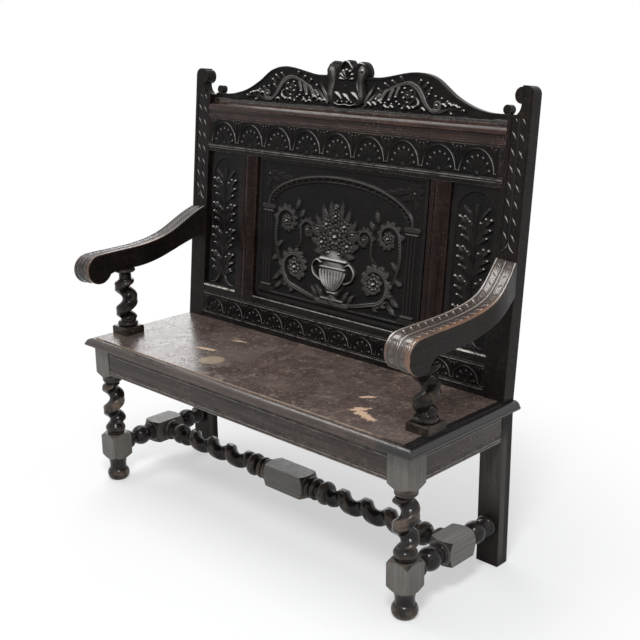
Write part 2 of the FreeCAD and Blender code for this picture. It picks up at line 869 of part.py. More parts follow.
def arm_support(underside):
    """Right arm support: square block on the seat, ring, rope twist, neck and cap, with tenons."""
    block_top = seat_height + support_block_height
    ring_top = block_top + support_ring_height
    cap_bottom = underside - support_cap_height
    neck_bottom = cap_bottom - support_neck_height
    half = support_block_side / 2
    base = block(-half, half, -half, half, seat_height, block_top)
    middle = (seat_height + block_top) / 2
    upper_edges = [edge for edge in base.Edges if edge.BoundBox.ZMin > middle]
    base = base.makeChamfer(support_block_chamfer, upper_edges)
    ring = turned(bead(support_ring_rest_radius, support_ring_radius, block_top, ring_top - turning_quirk)
                  + [(support_ring_rest_radius, ring_top)])
    twist = rope_twist(ring_top, neck_bottom, twist_pitch, twist_strand_radius, twist_throw,
                       support_twist_turn)
    cap = turned([
        (support_neck_radius, neck_bottom),
        (support_neck_radius, cap_bottom, -support_cap_swell),
        (support_cap_radius - support_cap_swell, cap_bottom + support_cap_flare, support_cap_swell),
        (support_cap_radius - support_cap_swell, underside),
    ])
    tenons = [moved(round_tenon(tenon_length), 0, 0, seat_height - tenon_length),
              moved(round_tenon(tenon_length), 0, 0, underside)]
    return moved(fused([base, ring, twist, cap] + tenons), support_from_middle, support_depth, 0)


def build_under_frame(pieces):
    """Legs, aprons, stretchers and seat."""
    pieces["front_leg_left"] = moved(front_leg(leg_twist_turn_left), -leg_axis, leg_axis_depth, 0)
    pieces["front_leg_right"] = moved(front_leg(leg_twist_turn_right), leg_axis, leg_axis_depth, 0)
    pieces["rear_post_right"] = post()
    pieces["front_apron"] = front_apron()
    pieces["rear_apron"] = rear_apron()
    pieces["side_apron_right"] = side_apron()
    pieces["side_stretcher_right"] = moved(laid_along_y(side_stretcher()), leg_axis, stretcher_depth,
                                           stretcher_height)
    for name in ("rear_post", "side_apron", "side_stretcher"):
        pieces[name + "_left"] = mirrored(pieces[name + "_right"])
    pieces["cross_stretcher"] = moved(laid_along_x(cross_stretcher()), 0, stretcher_depth, stretcher_height)
    pieces["seat_board"] = seat_board()


def build_back(pieces):
    """Rails, uprights, panels, cornice and crest of the leaning back."""
    pieces["bottom_rail"] = bottom_rail()
    pieces["frieze_rail"] = frieze_rail()
    pieces["cornice_moulding"] = cornice()
    pieces["crest_board"] = crest_board()
    pieces["crest_lip"] = crest_lip()
    pieces["crest_cartouche"] = cartouche().cut(pieces["crest_board"])
    side_opening = muntin_from_middle + muntin_width / 2
    centre_opening = muntin_from_middle - muntin_width / 2
    plinth_overhang = (muntin_plinth_width - muntin_width) / 2
    openings = {"left": (-post_inside, -side_opening), "centre": (-centre_opening, centre_opening),
                "right": (side_opening, post_inside)}
    for place, (left, right) in openings.items():
        pieces["panel_" + place] = panel(left, right)
        sill_left = left if place == "left" else left + plinth_overhang
        sill_right = right if place == "right" else right - plinth_overhang
        pieces["sill_bead_" + place] = sill(sill_left, sill_right)
    pieces["muntin_left"] = muntin(-muntin_from_middle)
    pieces["muntin_right"] = muntin(muntin_from_middle)
    for name in ("bottom_rail", "frieze_rail", "muntin_left", "muntin_right"):
        for place in openings:
            pieces[name] = pieces[name].cut(pieces["panel_" + place])
    names = ["bottom_rail", "frieze_rail", "cornice_moulding", "crest_board", "crest_lip", "crest_cartouche",
             "muntin_left", "muntin_right"]
    names += ["panel_" + place for place in openings] + ["sill_bead_" + place for place in openings]
    for name in names:
        pieces[name] = leaned(pieces[name])


def build_arms(pieces):
    """Arms and the supports that carry them; the left arm sits a little lower on the leaning post."""
    left_support = arm_support(arm_underside - arm_left_lower)
    pieces["arm_support_right"] = arm_support(arm_underside)
    pieces["arm_support_left"] = moved(left_support, -2 * support_from_middle, 0, 0)
    pieces["arm_right"] = arm()
    pieces["arm_left"] = moved(mirrored(arm()), 0, -arm_left_lower * math.tan(rake), -arm_left_lower)


def fit_joints(pieces):
    """Cut the mortises, grooves and notches that other pieces enter."""
    entering = {
        "front_leg_left": ["side_stretcher_left"],
        "front_leg_right": ["side_stretcher_right"],
        "rear_post_left": ["side_stretcher_left", "panel_left"],
        "rear_post_right": ["side_stretcher_right", "panel_right"],
        "side_stretcher_left": ["cross_stretcher"],
        "side_stretcher_right": ["cross_stretcher"],
        "seat_board": ["rear_post_left", "rear_post_right", "arm_support_left", "arm_support_right"],
        "bottom_rail": ["seat_board"],
        "arm_left": ["arm_support_left"],
        "arm_right": ["arm_support_right"],
    }
    for name, others in entering.items():
        for other in others:
            pieces[name] = pieces[name].cut(pieces[other])


def build():
    """All pieces by name, standing on the floor about the origin."""
    pieces = {}
    build_under_frame(pieces)
    build_back(pieces)
    build_arms(pieces)
    fit_joints(pieces)
    boxes = [shape.optimalBoundingBox() for shape in pieces.values()]
    middle = (min(box.YMin for box in boxes) + max(box.YMax for box in boxes)) / 2
    for name in pieces:
        pieces[name] = moved(pieces[name], 0, -middle, 0)
    return pieces


for node, solid in build().items():
    solid.exportStep("parts/" + node + ".step")
    print(node, len(solid.Solids), round(solid.Volume), solid.isValid())
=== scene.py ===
import bpy
import math
import numpy as np
from mathutils import Matrix, Vector
from mathutils.bvhtree import BVHTree


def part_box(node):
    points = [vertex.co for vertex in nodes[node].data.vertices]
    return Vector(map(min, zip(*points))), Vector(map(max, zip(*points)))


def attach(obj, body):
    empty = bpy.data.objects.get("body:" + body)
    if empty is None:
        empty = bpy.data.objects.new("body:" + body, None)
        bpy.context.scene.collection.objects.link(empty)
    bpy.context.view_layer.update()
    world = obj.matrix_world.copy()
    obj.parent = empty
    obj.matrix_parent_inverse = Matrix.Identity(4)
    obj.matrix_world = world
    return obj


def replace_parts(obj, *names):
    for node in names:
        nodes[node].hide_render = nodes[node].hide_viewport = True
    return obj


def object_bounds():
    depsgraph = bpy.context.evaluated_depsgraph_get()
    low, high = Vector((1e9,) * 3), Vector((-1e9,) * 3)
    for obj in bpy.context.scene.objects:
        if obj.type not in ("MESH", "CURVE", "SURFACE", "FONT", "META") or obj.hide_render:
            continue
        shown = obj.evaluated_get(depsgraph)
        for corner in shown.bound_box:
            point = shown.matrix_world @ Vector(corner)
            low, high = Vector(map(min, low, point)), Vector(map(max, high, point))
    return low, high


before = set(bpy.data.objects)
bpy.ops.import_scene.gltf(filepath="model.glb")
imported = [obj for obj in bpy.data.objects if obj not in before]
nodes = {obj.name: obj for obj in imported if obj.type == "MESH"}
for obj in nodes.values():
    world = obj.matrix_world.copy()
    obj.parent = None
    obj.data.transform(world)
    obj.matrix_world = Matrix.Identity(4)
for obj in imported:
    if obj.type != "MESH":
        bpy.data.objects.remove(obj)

cadLow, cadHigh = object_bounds()

# Places shared with the joiner's drawing, in metres. The back leans about the foot of its front face.
bench = {
    "seatHeight": 0.450, "backFoot": 0.1395, "lean": 5.5,
    "railFace": 0.002, "panelFace": 0.014, "crestFace": 0.025, "corniceTop": 0.666,
}
leanMatrix = Matrix.Translation((0, bench["backFoot"], bench["seatHeight"])) @ Matrix.Rotation(
    math.radians(-bench["lean"]), 4, "X")

print("stage: frame loaded,", len(nodes), "nodes")


# Shared shader parts and groups: grain, worn edges, settled dust and use marks

def newGroup(name, inputs, outputs):
    group = bpy.data.node_groups.new(name, "ShaderNodeTree")
    for label, kind, value in inputs:
        socket = group.interface.new_socket(name=label, in_out="INPUT", socket_type=kind)
        if value is not None:
            socket.default_value = value
    for label, kind in outputs:
        group.interface.new_socket(name=label, in_out="OUTPUT", socket_type=kind)
    return group, group.nodes.new("NodeGroupInput"), group.nodes.new("NodeGroupOutput")


def maths(tree, operation, first, second=None, clamp=False):
    node = tree.nodes.new("ShaderNodeMath")
    node.operation = operation
    node.use_clamp = clamp
    for index, value in enumerate((first, second)):
        if value is None:
            continue
        if isinstance(value, (int, float)):
            node.inputs[index].default_value = value
        else:
            tree.links.new(value, node.inputs[index])
    return node.outputs[0]


def times(tree, first, second, clamp=False):
    return maths(tree, "MULTIPLY", first, second, clamp)


def plus(tree, first, second):
    return maths(tree, "ADD", first, second)


def minus(tree, first, second):
    return maths(tree, "SUBTRACT", first, second)


def larger(tree, first, second):
    return maths(tree, "MAXIMUM", first, second)


def opposite(tree, value):
    # 1 where the value is 0, and 0 where it is 1
    return maths(tree, "SUBTRACT", 1.0, value)


def apart(tree, first, second):
    # How far two values lie from each other
    return maths(tree, "ABSOLUTE", minus(tree, first, second))


def vectorMaths(tree, operation, first, second=None):
    node = tree.nodes.new("ShaderNodeVectorMath")
    node.operation = operation
    tree.links.new(first, node.inputs[0])
    if hasattr(second, "is_output"):
        tree.links.new(second, node.inputs[1])
    elif second is not None:
        node.inputs[1].default_value = second
    return node.outputs


def scaled(tree, vector, size):
    node = tree.nodes.new("ShaderNodeVectorMath")
    node.operation = "SCALE"
    tree.links.new(vector, node.inputs[0])
    tree.links.new(size, node.inputs["Scale"])
    return node.outputs[0]


def axesOf(tree, vector):
    node = tree.nodes.new("ShaderNodeSeparateXYZ")
    tree.links.new(vector, node.inputs[0])
    return node.outputs


def normalOf(tree, kind="Normal"):
    return tree.nodes.new("ShaderNodeNewGeometry").outputs[kind]


def mixColour(tree, factor, first, second):
    node = tree.nodes.new("ShaderNodeMix")
    node.data_type = "RGBA"
    for socket, value in ((node.inputs[0], factor), (node.inputs[6], first), (node.inputs[7], second)):
        if hasattr(value, "is_output"):
            tree.links.new(value, socket)
        elif isinstance(value, (int, float)):
            socket.default_value = value
        else:
            socket.default_value = (*value, 1.0)
    return node.outputs[2]


def tint(tree, colour, mask, share, shade):
    # Lays a shade over a colour where the mask is high, at most by the share
    return mixColour(tree, times(tree, mask, share), colour, shade)


def noise(tree, vector, scale, detail=4.0, roughness=0.55, distortion=0.0):
    node = tree.nodes.new("ShaderNodeTexNoise")
    tree.links.new(vector, node.inputs["Vector"])
    node.inputs["Scale"].default_value = scale
    node.inputs["Detail"].default_value = detail
    node.inputs["Roughness"].default_value = roughness
    node.inputs["Distortion"].default_value = distortion
    return node.outputs["Fac"]


def ramp(tree, value, low, high):
    node = tree.nodes.new("ShaderNodeMapRange")
    node.interpolation_type = "SMOOTHSTEP"
    tree.links.new(value, node.inputs["Value"])
    node.inputs["From Min"].default_value = low
    node.inputs["From Max"].default_value = high
    return node.outputs["Result"]


def makeGrainGroup():
    # Coordinates come in with the grain along Z. Out: broad streaks, open pores and a bump height.
    group, entry, leave = newGroup(
        "oakGrain",
        [("Coordinates", "NodeSocketVector", None), ("Streak Width", "NodeSocketFloat", 1.0)],
        [("Streaks", "NodeSocketFloat"), ("Pores", "NodeSocketFloat"), ("Height", "NodeSocketFloat")])
    broad = vectorMaths(group, "MULTIPLY", entry.outputs["Coordinates"], (60.0, 60.0, 3.0))[0]
    streaks = noise(group, scaled(group, broad, entry.outputs["Streak Width"]), 1.0, 5.0, 0.6, 0.4)
    fine = vectorMaths(group, "MULTIPLY", entry.outputs["Coordinates"], (900.0, 900.0, 40.0))[0]
    pores = ramp(group, noise(group, fine, 1.0, 2.0, 0.5), 0.60, 0.72)
    group.links.new(streaks, leave.inputs["Streaks"])
    group.links.new(pores, leave.inputs["Pores"])
    group.links.new(minus(group, times(group, streaks, 0.5), pores), leave.inputs["Height"])
    return group


def makeWearGroup():
    # Rubbed arrises: where a rounded normal departs from the true one, broken up by noise.
    group, entry, leave = newGroup(
        "rubbedEdges",
        [("Coordinates", "NodeSocketVector", None), ("Width", "NodeSocketFloat", 0.002),
         ("Amount", "NodeSocketFloat", 1.0)],
        [("Mask", "NodeSocketFloat")])
    bevel = group.nodes.new("ShaderNodeBevel")
    bevel.samples = 4
    group.links.new(entry.outputs["Width"], bevel.inputs["Radius"])
    agreement = vectorMaths(group, "DOT_PRODUCT", bevel.outputs[0], normalOf(group))["Value"]
    edge = ramp(group, opposite(group, agreement), 0.004, 0.10)
    patchy = ramp(group, noise(group, entry.outputs["Coordinates"], 38.0, 5.0, 0.65), 0.34, 0.62)
    worn = times(group, times(group, edge, patchy), entry.outputs["Amount"], clamp=True)
    group.links.new(worn, leave.inputs["Mask"])
    return group


def makeDustGroup():
    # Dull bloom that settles on faces that look up, thin and cloudy.
    group, entry, leave = newGroup(
        "settledDust",
        [("Coordinates", "NodeSocketVector", None), ("Amount", "NodeSocketFloat", 0.3)],
        [("Mask", "NodeSocketFloat")])
    facing = ramp(group, axesOf(group, normalOf(group))["Z"], 0.1, 0.95)
    cloud = ramp(group, noise(group, entry.outputs["Coordinates"], 14.0, 6.0, 0.6), 0.25, 0.8)
    settled = times(group, times(group, facing, cloud), entry.outputs["Amount"])
    group.links.new(settled, leave.inputs["Mask"])
    return group


def makeScuffGroup():
    # Use marks: thin broken scratches along and across, clustered chips, and cloudy patches.
    group, entry, leave = newGroup(
        "useMarks",
        [("Coordinates", "NodeSocketVector", None), ("Size", "NodeSocketFloat", 1.0)],
        [("Scratches", "NodeSocketFloat"), ("Chips", "NodeSocketFloat"), ("Patches", "NodeSocketFloat")])
    place = scaled(group, entry.outputs["Coordinates"], entry.outputs["Size"])
    lines = None
    for stretch, angle, seed in (((14.0, 46.0, 30.0), 18.0, 0.0), ((38.0, 12.0, 30.0), -34.0, 3.7)):
        turn = group.nodes.new("ShaderNodeMapping")
        turn.inputs["Rotation"].default_value = (0, 0, math.radians(angle))
        turn.inputs["Location"].default_value = (seed, seed, seed)
        turn.inputs["Scale"].default_value = stretch
        group.links.new(place, turn.inputs["Vector"])
        away = apart(group, noise(group, turn.outputs[0], 1.0, 5.0, 0.7, 0.9), 0.5)
        line = opposite(group, ramp(group, away, 0.002, 0.016))
        lines = line if lines is None else larger(group, lines, line)
    broken = ramp(group, noise(group, place, 26.0, 4.0, 0.7), 0.50, 0.62)
    crowd = ramp(group, noise(group, place, 7.0, 3.0, 0.6), 0.42, 0.62)
    specks = ramp(group, noise(group, place, 120.0, 5.0, 0.65), 0.54, 0.61)
    patches = ramp(group, noise(group, place, 9.0, 5.0, 0.62, 0.15), 0.34, 0.68)
    group.links.new(times(group, lines, broken), leave.inputs["Scratches"])
    group.links.new(times(group, specks, crowd), leave.inputs["Chips"])
    group.links.new(patches, leave.inputs["Patches"])
    return group


grainGroup = makeGrainGroup()
wearGroup = makeWearGroup()
dustGroup = makeDustGroup()
scuffGroup = makeScuffGroup()


def groupNode(tree, group, coordinates, **values):
    # A shared group in a material. Its values are given by name, the underscores read as spaces.
    node = tree.nodes.new("ShaderNodeGroup")
    node.node_tree = group
    tree.links.new(coordinates, node.inputs["Coordinates"])
    for label, value in values.items():
        node.inputs[label.replace("_", " ")].default_value = value
    return node.outputs


def boxMask(tree, coordinates, boxes):
    # 1 inside every band of the list, each as axis, centre, half width and the soft width it fades over
    axes = axesOf(tree, coordinates)
    mask = None
    for axis, centre, half, soft in boxes:
        band = opposite(tree, ramp(tree, apart(tree, axes[axis], centre), half - soft, half + soft))
        mask = band if mask is None else times(tree, mask, band)
    return mask


def flatMask(tree):
    # 1 on faces that are square to the bench, 0 on chamfers and turned work
    axes = axesOf(tree, normalOf(tree, "True Normal"))
    x, y, z = (maths(tree, "ABSOLUTE", axes[axis]) for axis in "XYZ")
    return ramp(tree, larger(tree, larger(tree, x, y), z), 0.985, 0.998)


def turnedMask(tree, coordinates, centre, along, low, high):
    # 1 far out from a turning's axis, on the crests of beads and twists; the pair is mirrored in X
    folded = axesOf(tree, vectorMaths(tree, "ABSOLUTE", coordinates)[0])
    plain = axesOf(tree, coordinates)
    offsets = {"X": minus(tree, folded["X"], centre[0]), "Y": minus(tree, plain["Y"], centre[1]),
               "Z": minus(tree, plain["Z"], centre[2])}
    first, second = (times(tree, value, value) for axis, value in offsets.items() if axis != along)
    return ramp(tree, maths(tree, "SQRT", plus(tree, first, second)), low, high)


def lineMask(tree, coordinates, towards, at, half, soft=0.0006):
    # 1 on a thin band, counted along a direction from the origin
    along = vectorMaths(tree, "DOT_PRODUCT", coordinates, towards)["Value"]
    return opposite(tree, ramp(tree, apart(tree, along, at), half - soft, half + soft))


def attributeOf(tree, name):
    node = tree.nodes.new("ShaderNodeAttribute")
    node.attribute_name = name
    return node.outputs["Fac"]


def newMaterial(name):
    material = bpy.data.materials.new(name)
    material.use_nodes = True
    tree = material.node_tree
    coordinates = tree.nodes.new("ShaderNodeTexCoord").outputs["Object"]
    return material, tree, tree.nodes["Principled BSDF"], coordinates


def grainAlong(tree, coordinates, axis, streak):
    turn = tree.nodes.new("ShaderNodeMapping")
    quarter = math.radians(90)
    turn.inputs["Rotation"].default_value = {"X": (0, quarter, 0), "Y": (quarter, 0, 0), "Z": (0, 0, 0)}[axis]
    tree.links.new(coordinates, turn.inputs["Vector"])
    return groupNode(tree, grainGroup, turn.outputs[0], Streak_Width=streak)


def setSurface(tree, shader, look, colour, roughness, height):
    tree.links.new(colour, shader.inputs["Base Color"])
    tree.links.new(roughness, shader.inputs["Roughness"])
    bump = tree.nodes.new("ShaderNodeBump")
    bump.inputs["Strength"].default_value = look["bump"]
    bump.inputs["Distance"].default_value = look["bumpDepth"]
    tree.links.new(height, bump.inputs["Height"])
    tree.links.new(bump.outputs[0], shader.inputs["Normal"])
    shader.inputs["Specular IOR Level"].default_value = look["specular"]
    shader.inputs["Coat Weight"].default_value = look["coat"]
    shader.inputs["Coat Roughness"].default_value = look["coatRoughness"]


def oakFinish(name, grainAxis, look, bloomAndSheenMasks=(), shadedLines=(), wearAndHighlightLines=(), axle=None):
    # One stained oak finish. grainAxis is the axis the boards' grain runs along; the bloom boxes mark blocks
    # whose flat faces get a pale bloom that also paints the sheen of reflected light; the cut lines are
    # scored lines painted dark as shade, and the rub lines are pale lines, partly wear and partly painted
    # highlight along beads, each as direction, place and half width. axle is a turning's centre and
    # direction, whose crests are worn to bare wood.
    material, tree, shader, coordinates = newMaterial(name)
    grain = grainAlong(tree, coordinates, grainAxis, look["streak"])
    marks = groupNode(tree, scuffGroup, coordinates, Size=look["markSize"])
    streaks = ramp(tree, grain["Streaks"], 0.3, 0.7)
    colour = mixColour(tree, streaks, look["dark"], look["light"])
    colour = tint(tree, colour, marks["Patches"], look["patchy"], look["patch"])
    colour = tint(tree, colour, grain["Pores"], look["poreDepth"], look["pore"])
    cloud = minus(tree, noise(tree, coordinates, 22.0, 4.0), 0.5)
    roughness = plus(tree, look["roughness"], times(tree, cloud, look["roughnessSpread"]))
    if axle:
        crests = turnedMask(tree, coordinates, *axle, look["crestLow"], look["crestHigh"])
        bare = times(tree, crests, ramp(tree, noise(tree, coordinates, 24.0, 6.0, 0.7, 0.4), 0.40, 0.66))
        colour = tint(tree, colour, bare, look["crestGain"], look["crest"])
        roughness = plus(tree, roughness, times(tree, bare, 0.1))
    # Flat faces of the listed blocks take a pale bloom that also paints the sheen of reflected light on them
    flat = flatMask(tree) if bloomAndSheenMasks else None
    for boxes in bloomAndSheenMasks:
        bloomAndSheen = times(tree, boxMask(tree, coordinates, boxes), flat)
        bloomAndSheenTone = mixColour(tree, times(tree, streaks, 0.55), look["bloomAndSheen"], look["bloomAndSheenDark"])
        bloomAndSheenTone = tint(tree, bloomAndSheenTone, marks["Patches"], 0.45, look["bloomAndSheenWarm"])
        bloomAndSheenTone = tint(tree, bloomAndSheenTone, grain["Pores"], 0.65, look["pore"])
        colour = tint(tree, colour, bloomAndSheen, 0.95, bloomAndSheenTone)
        roughness = plus(tree, roughness, times(tree, bloomAndSheen, look["bloomAndSheenRoughness"]))
    # Carved boards: the rubbed colour is a painted highlight, laid on high points of the relief whose normal
    # faces the light along the towards direction
    if look.get("carved"):
        relief = attributeOf(tree, "relief")
        facing = vectorMaths(tree, "DOT_PRODUCT", normalOf(tree), look["towards"])["Value"]
        high = times(tree, ramp(tree, relief, look["paintedHighlightFrom"], 0.92),
                     ramp(tree, facing, look["paintedHighlightFacing"], 0.95))
        # Painted shade: the hollows of the relief are darkened with the recess colour
        low = opposite(tree, ramp(tree, relief, 0.05, 0.40))
        colour = tint(tree, colour, high, look["paintedHighlightGain"], look["paintedHighlight"])
        colour = tint(tree, colour, low, 0.6, look["paintedShade"])
        roughness = plus(tree, roughness, times(tree, low, 0.30))
        roughness = minus(tree, roughness, times(tree, high, 0.08))
    if look.get("edge"):
        shades = mixColour(tree, marks["Patches"], look["edge"], look["patch"])
        colour = tint(tree, colour, attributeOf(tree, "wornEdge"), 0.85, shades)
    broken = ramp(tree, noise(tree, coordinates, 55.0, 5.0, 0.7), 0.30, 0.60)
    # Pale lines: partly worn arrises and partly painted highlight along beads
    for towards, at, half in wearAndHighlightLines:
        band = times(tree, lineMask(tree, coordinates, towards, at, half), broken)
        colour = tint(tree, colour, band, look["lineWearAndHighlightGain"], look["lineWearAndHighlight"])
    # Scored lines painted dark as shade in the grooves
    for towards, at, half in shadedLines:
        colour = tint(tree, colour, lineMask(tree, coordinates, towards, at, half), 0.9, look["paintedShade"])
    wear = groupNode(tree, wearGroup, coordinates, Width=look["wearWidth"], Amount=look["wear"])
    colour = mixColour(tree, wear["Mask"], colour, look["worn"])
    colour = tint(tree, colour, marks["Scratches"], look["scratched"], look["scratch"])
    colour = tint(tree, colour, marks["Chips"], look["chipped"], look["worn"])
    dust = groupNode(tree, dustGroup, coordinates, Amount=look["dust"])
    colour = mixColour(tree, dust["Mask"], colour, look["dustColour"])
    roughness = plus(tree, roughness, times(tree, marks["Scratches"], 0.12))
    roughness = maths(tree, "MINIMUM", larger(tree, roughness, 0.10), 0.95)
    setSurface(tree, shader, look, colour, roughness, grain["Height"])
    return material


ebonised = {
    "dark": (0.0040, 0.0036, 0.0036), "light": (0.011, 0.0090, 0.0085), "pore": (0.002, 0.002, 0.002),
    "patch": (0.020, 0.0125, 0.0100), "patchy": 0.35, "markSize": 1.0,
    "scratch": (0.10, 0.080, 0.066), "scratched": 0.22, "chipped": 0.16,
    "poreDepth": 0.7, "streak": 2.0, "roughness": 0.22, "roughnessSpread": 0.22,
    # The bloom colours paint a pale bloom together with the sheen of reflected light on flat faces
    "bloomAndSheen": (0.172, 0.166, 0.152), "bloomAndSheenDark": (0.060, 0.058, 0.053), "bloomAndSheenWarm": (0.105, 0.082, 0.068),
    "crest": (0.150, 0.108, 0.080), "crestLow": 0.0255, "crestHigh": 0.0325, "crestGain": 0.85,
    "bloomAndSheenRoughness": 0.16, "wear": 0.75, "wearWidth": 0.0020,
    "worn": (0.125, 0.070, 0.046), "dust": 0.08, "dustColour": (0.16, 0.15, 0.145),
    "bump": 0.45, "bumpDepth": 0.0006,
    # rub paints pale lines, partly wear and partly a painted highlight along beads
    "lineWearAndHighlight": (0.30, 0.27, 0.25), "lineWearAndHighlightGain": 0.8,
    "specular": 0.20, "coat": 0.13, "coatRoughness": 0.08,
    # rubbed is a painted highlight colour for high carving that faces the towards direction; recess is a
    # painted shade colour for hollows and scored lines
    "paintedShade": (0.0016, 0.0016, 0.0016), "paintedHighlight": (0.42, 0.39, 0.37), "paintedHighlightFrom": 0.46, "paintedHighlightGain": 0.85,
    "paintedHighlightFacing": 0.62, "towards": (0.35, -0.62, 0.70),
}
carvedBack = dict(
    ebonised, carved=True, specular=0.10, coat=0.03, roughness=0.20, wear=0.0, dust=0.02, scratched=0.08,
    chipped=0.05, patchy=0.25, dark=(0.0028, 0.0025, 0.0024), light=(0.0080, 0.0066, 0.0060))
plainBack = dict(
    ebonised, specular=0.08, coat=0.03, dark=(0.0034, 0.0029, 0.0028), light=(0.0100, 0.0078, 0.0070),
    dust=0.03, wear=0.45, scratched=0.12)
muntinLook = dict(
    plainBack, dark=(0.0034, 0.0018, 0.0015), light=(0.0145, 0.0066, 0.0050), roughness=0.26,
    patch=(0.024, 0.0115, 0.0085), patchy=0.4, worn=(0.12, 0.07, 0.05), wear=0.4)
# The cornice's pale worn colour is also a painted highlight on its mouldings, and its recess colour a painted
# shade
corniceLook = dict(
    muntinLook, dark=(0.008, 0.0034, 0.0026), light=(0.038, 0.0160, 0.0105), specular=0.14, coat=0.13,
    coatRoughness=0.08, roughness=0.18, wear=0.8, worn=(0.24, 0.165, 0.13), paintedShade=(0.009, 0.0032, 0.0024))
apronLook = dict(
    ebonised, dark=(0.016, 0.0115, 0.0100), light=(0.060, 0.047, 0.040), patch=(0.046, 0.027, 0.021),
    patchy=0.6, scratched=0.35, chipped=0.35, worn=(0.27, 0.21, 0.175), roughness=0.30, coat=0.12,
    streak=1.3, paintedShade=(0.0025, 0.002, 0.002))
# On the posts the bloom colours are dimmer: a pale bloom with a painted sheen
postLook = dict(
    plainBack, specular=0.07, bloomAndSheen=(0.075, 0.070, 0.065), bloomAndSheenDark=(0.030, 0.028, 0.026),
    bloomAndSheenWarm=(0.070, 0.056, 0.047))
crossLook = dict(ebonised, crestLow=0.023)
supportLook = dict(ebonised, roughness=0.12, specular=0.10, coat=0.14, wear=0.5, crestGain=0.35)
# On the rails the pale worn colour of the arrises is also a painted highlight along the beads
railLook = dict(plainBack, wear=0.8, worn=(0.16, 0.14, 0.125))
# The lip's pale worn colour is also a painted sheen line along it
lipLook = dict(plainBack, specular=0.32, coat=0.30, roughness=0.16, wear=0.9, worn=(0.30, 0.27, 0.25))
# The sills' rub colours are painted highlight lines on their beads
brightSillLook = dict(plainBack, specular=0.4, coat=0.3, lineWearAndHighlight=(0.60, 0.56, 0.51), lineWearAndHighlightGain=1.0)
dimSillLook = dict(plainBack, specular=0.3, coat=0.2, lineWearAndHighlight=(0.26, 0.24, 0.22))
armLook = dict(
    plainBack, worn=(0.060, 0.032, 0.021), wear=0.9, specular=0.10, wearWidth=0.003, roughness=0.38)
# The carved looks set the painted highlight: the direction its lit faces look and the height it starts from
carvedRailLook = dict(
    carvedBack, specular=0.07, paintedHighlightFacing=0.66, paintedHighlightGain=0.75, towards=(0.72, -0.50, 0.48))
carvedCrestLook = dict(
    carvedBack, specular=0.08, paintedHighlightFacing=0.55, paintedHighlightGain=1.0, paintedHighlightFrom=0.40, paintedHighlight=(0.50, 0.47, 0.45))
carvedCentreLook = dict(carvedBack, paintedHighlightFrom=0.30, paintedHighlightFacing=0.50, paintedHighlightGain=1.0)

leanUp = (0.0, math.sin(math.radians(bench["lean"])), math.cos(math.radians(bench["lean"])))
leanBase = leanUp[1] * bench["backFoot"] + leanUp[2] * bench["seatHeight"]
lowPost = [("Z", 0.19, 0.17, 0.03)]
# Grooves on the aprons, painted dark as shade
apronShadedLines = [((0, 0, 1), z, 0.0017) for z in (0.359, 0.365, 0.410, 0.416)]
# Pale lines beside the apron grooves, partly wear and partly painted highlight
apronWearAndHighlightLines = [((0, 0, 1), z, 0.0010) for z in (0.3555, 0.3482, 0.4072, 0.4195)]


def acrossBack(*bands):
    # Bands across the leaning back, each as height up the back and half width
    return [(leanUp, leanBase + height, half) for height, half in bands]


finishes = {
    "blackLeg": oakFinish("ebonisedLegOak", "Z", ebonised, axle=((0.568, -0.1925, 0), "Z"),
                          bloomAndSheenMasks=[[("Z", 0.109, 0.039, 0.002)], [("Z", 0.381, 0.050, 0.002)]]),
    "blackSideStretcher": oakFinish("ebonisedSideStretcherOak", "Y", ebonised,
                                    bloomAndSheenMasks=[[("Y", -0.0105, 0.052, 0.002)]]),
    "blackCrossStretcher": oakFinish("ebonisedCrossStretcherOak", "X", crossLook,
                                     bloomAndSheenMasks=[[("X", 0.0, 0.078, 0.002)]],
                                     axle=((0, -0.0105, 0.111), "X")),
    "blackApron": oakFinish("ebonisedApronOak", "X", apronLook, shadedLines=apronShadedLines, wearAndHighlightLines=apronWearAndHighlightLines),
    "blackSideApron": oakFinish("ebonisedSideApronOak", "Y", apronLook, shadedLines=apronShadedLines, wearAndHighlightLines=apronWearAndHighlightLines),
    # Posts: a pale bloom with painted sheen on the side face next to the front arris, and on the front face
    # below the seat
    "blackUpright": oakFinish("ebonisedUprightOak", "Z", postLook,
                              bloomAndSheenMasks=[lowPost + [("Y", 0.152, 0.010, 0.006)],
                                          [("Z", 0.27, 0.10, 0.06), ("Y", 0.1395, 0.0014, 0.0010)]]),
    # Pale lines on the rail's beads are painted highlights
    "blackRail": oakFinish("ebonisedRailOak", "X", railLook, wearAndHighlightLines=acrossBack(
        (0.0180, 0.0013), (0.0770, 0.0014), (0.5350, 0.0014), (0.0245, 0.0006), (0.0705, 0.0007),
        (0.5285, 0.0006))),
    # Painted highlight lines along the sill beads, dimmer on the middle one
    "brightSill": oakFinish("paintedHighlightSillOak", "X", brightSillLook, wearAndHighlightLines=acrossBack((0.1035, 0.0018))),
    "glossyLip": oakFinish("glossyLipOak", "X", lipLook),
    "dimSill": oakFinish("dimSillOak", "X", dimSillLook, wearAndHighlightLines=acrossBack((0.1035, 0.0011))),
    "blackSupport": oakFinish("ebonisedSupportOak", "Z", supportLook, axle=((0.567, -0.1235, 0), "Z")),
    "redUpright": oakFinish("rubbedMuntinOak", "Z", muntinLook),
    # The cornice's dark bands are painted shade under its mouldings
    "redRail": oakFinish("rubbedCorniceOakWithPaintedShade", "X", corniceLook, shadedLines=acrossBack(
        (0.6365, 0.0036), (0.6250, 0.0016), (0.6160, 0.0024))),
    "armOak": oakFinish("ebonisedArmOak", "Y", armLook),
    "carvedRail": oakFinish("carvedRailOak", "X", carvedRailLook),
    "carvedCrest": oakFinish("carvedCrestOak", "X", carvedCrestLook),
    "carvedPanel": oakFinish("carvedPanelOak", "Z", carvedBack),
    "carvedCentre": oakFinish("carvedCentreOak", "X", carvedCentreLook),
}

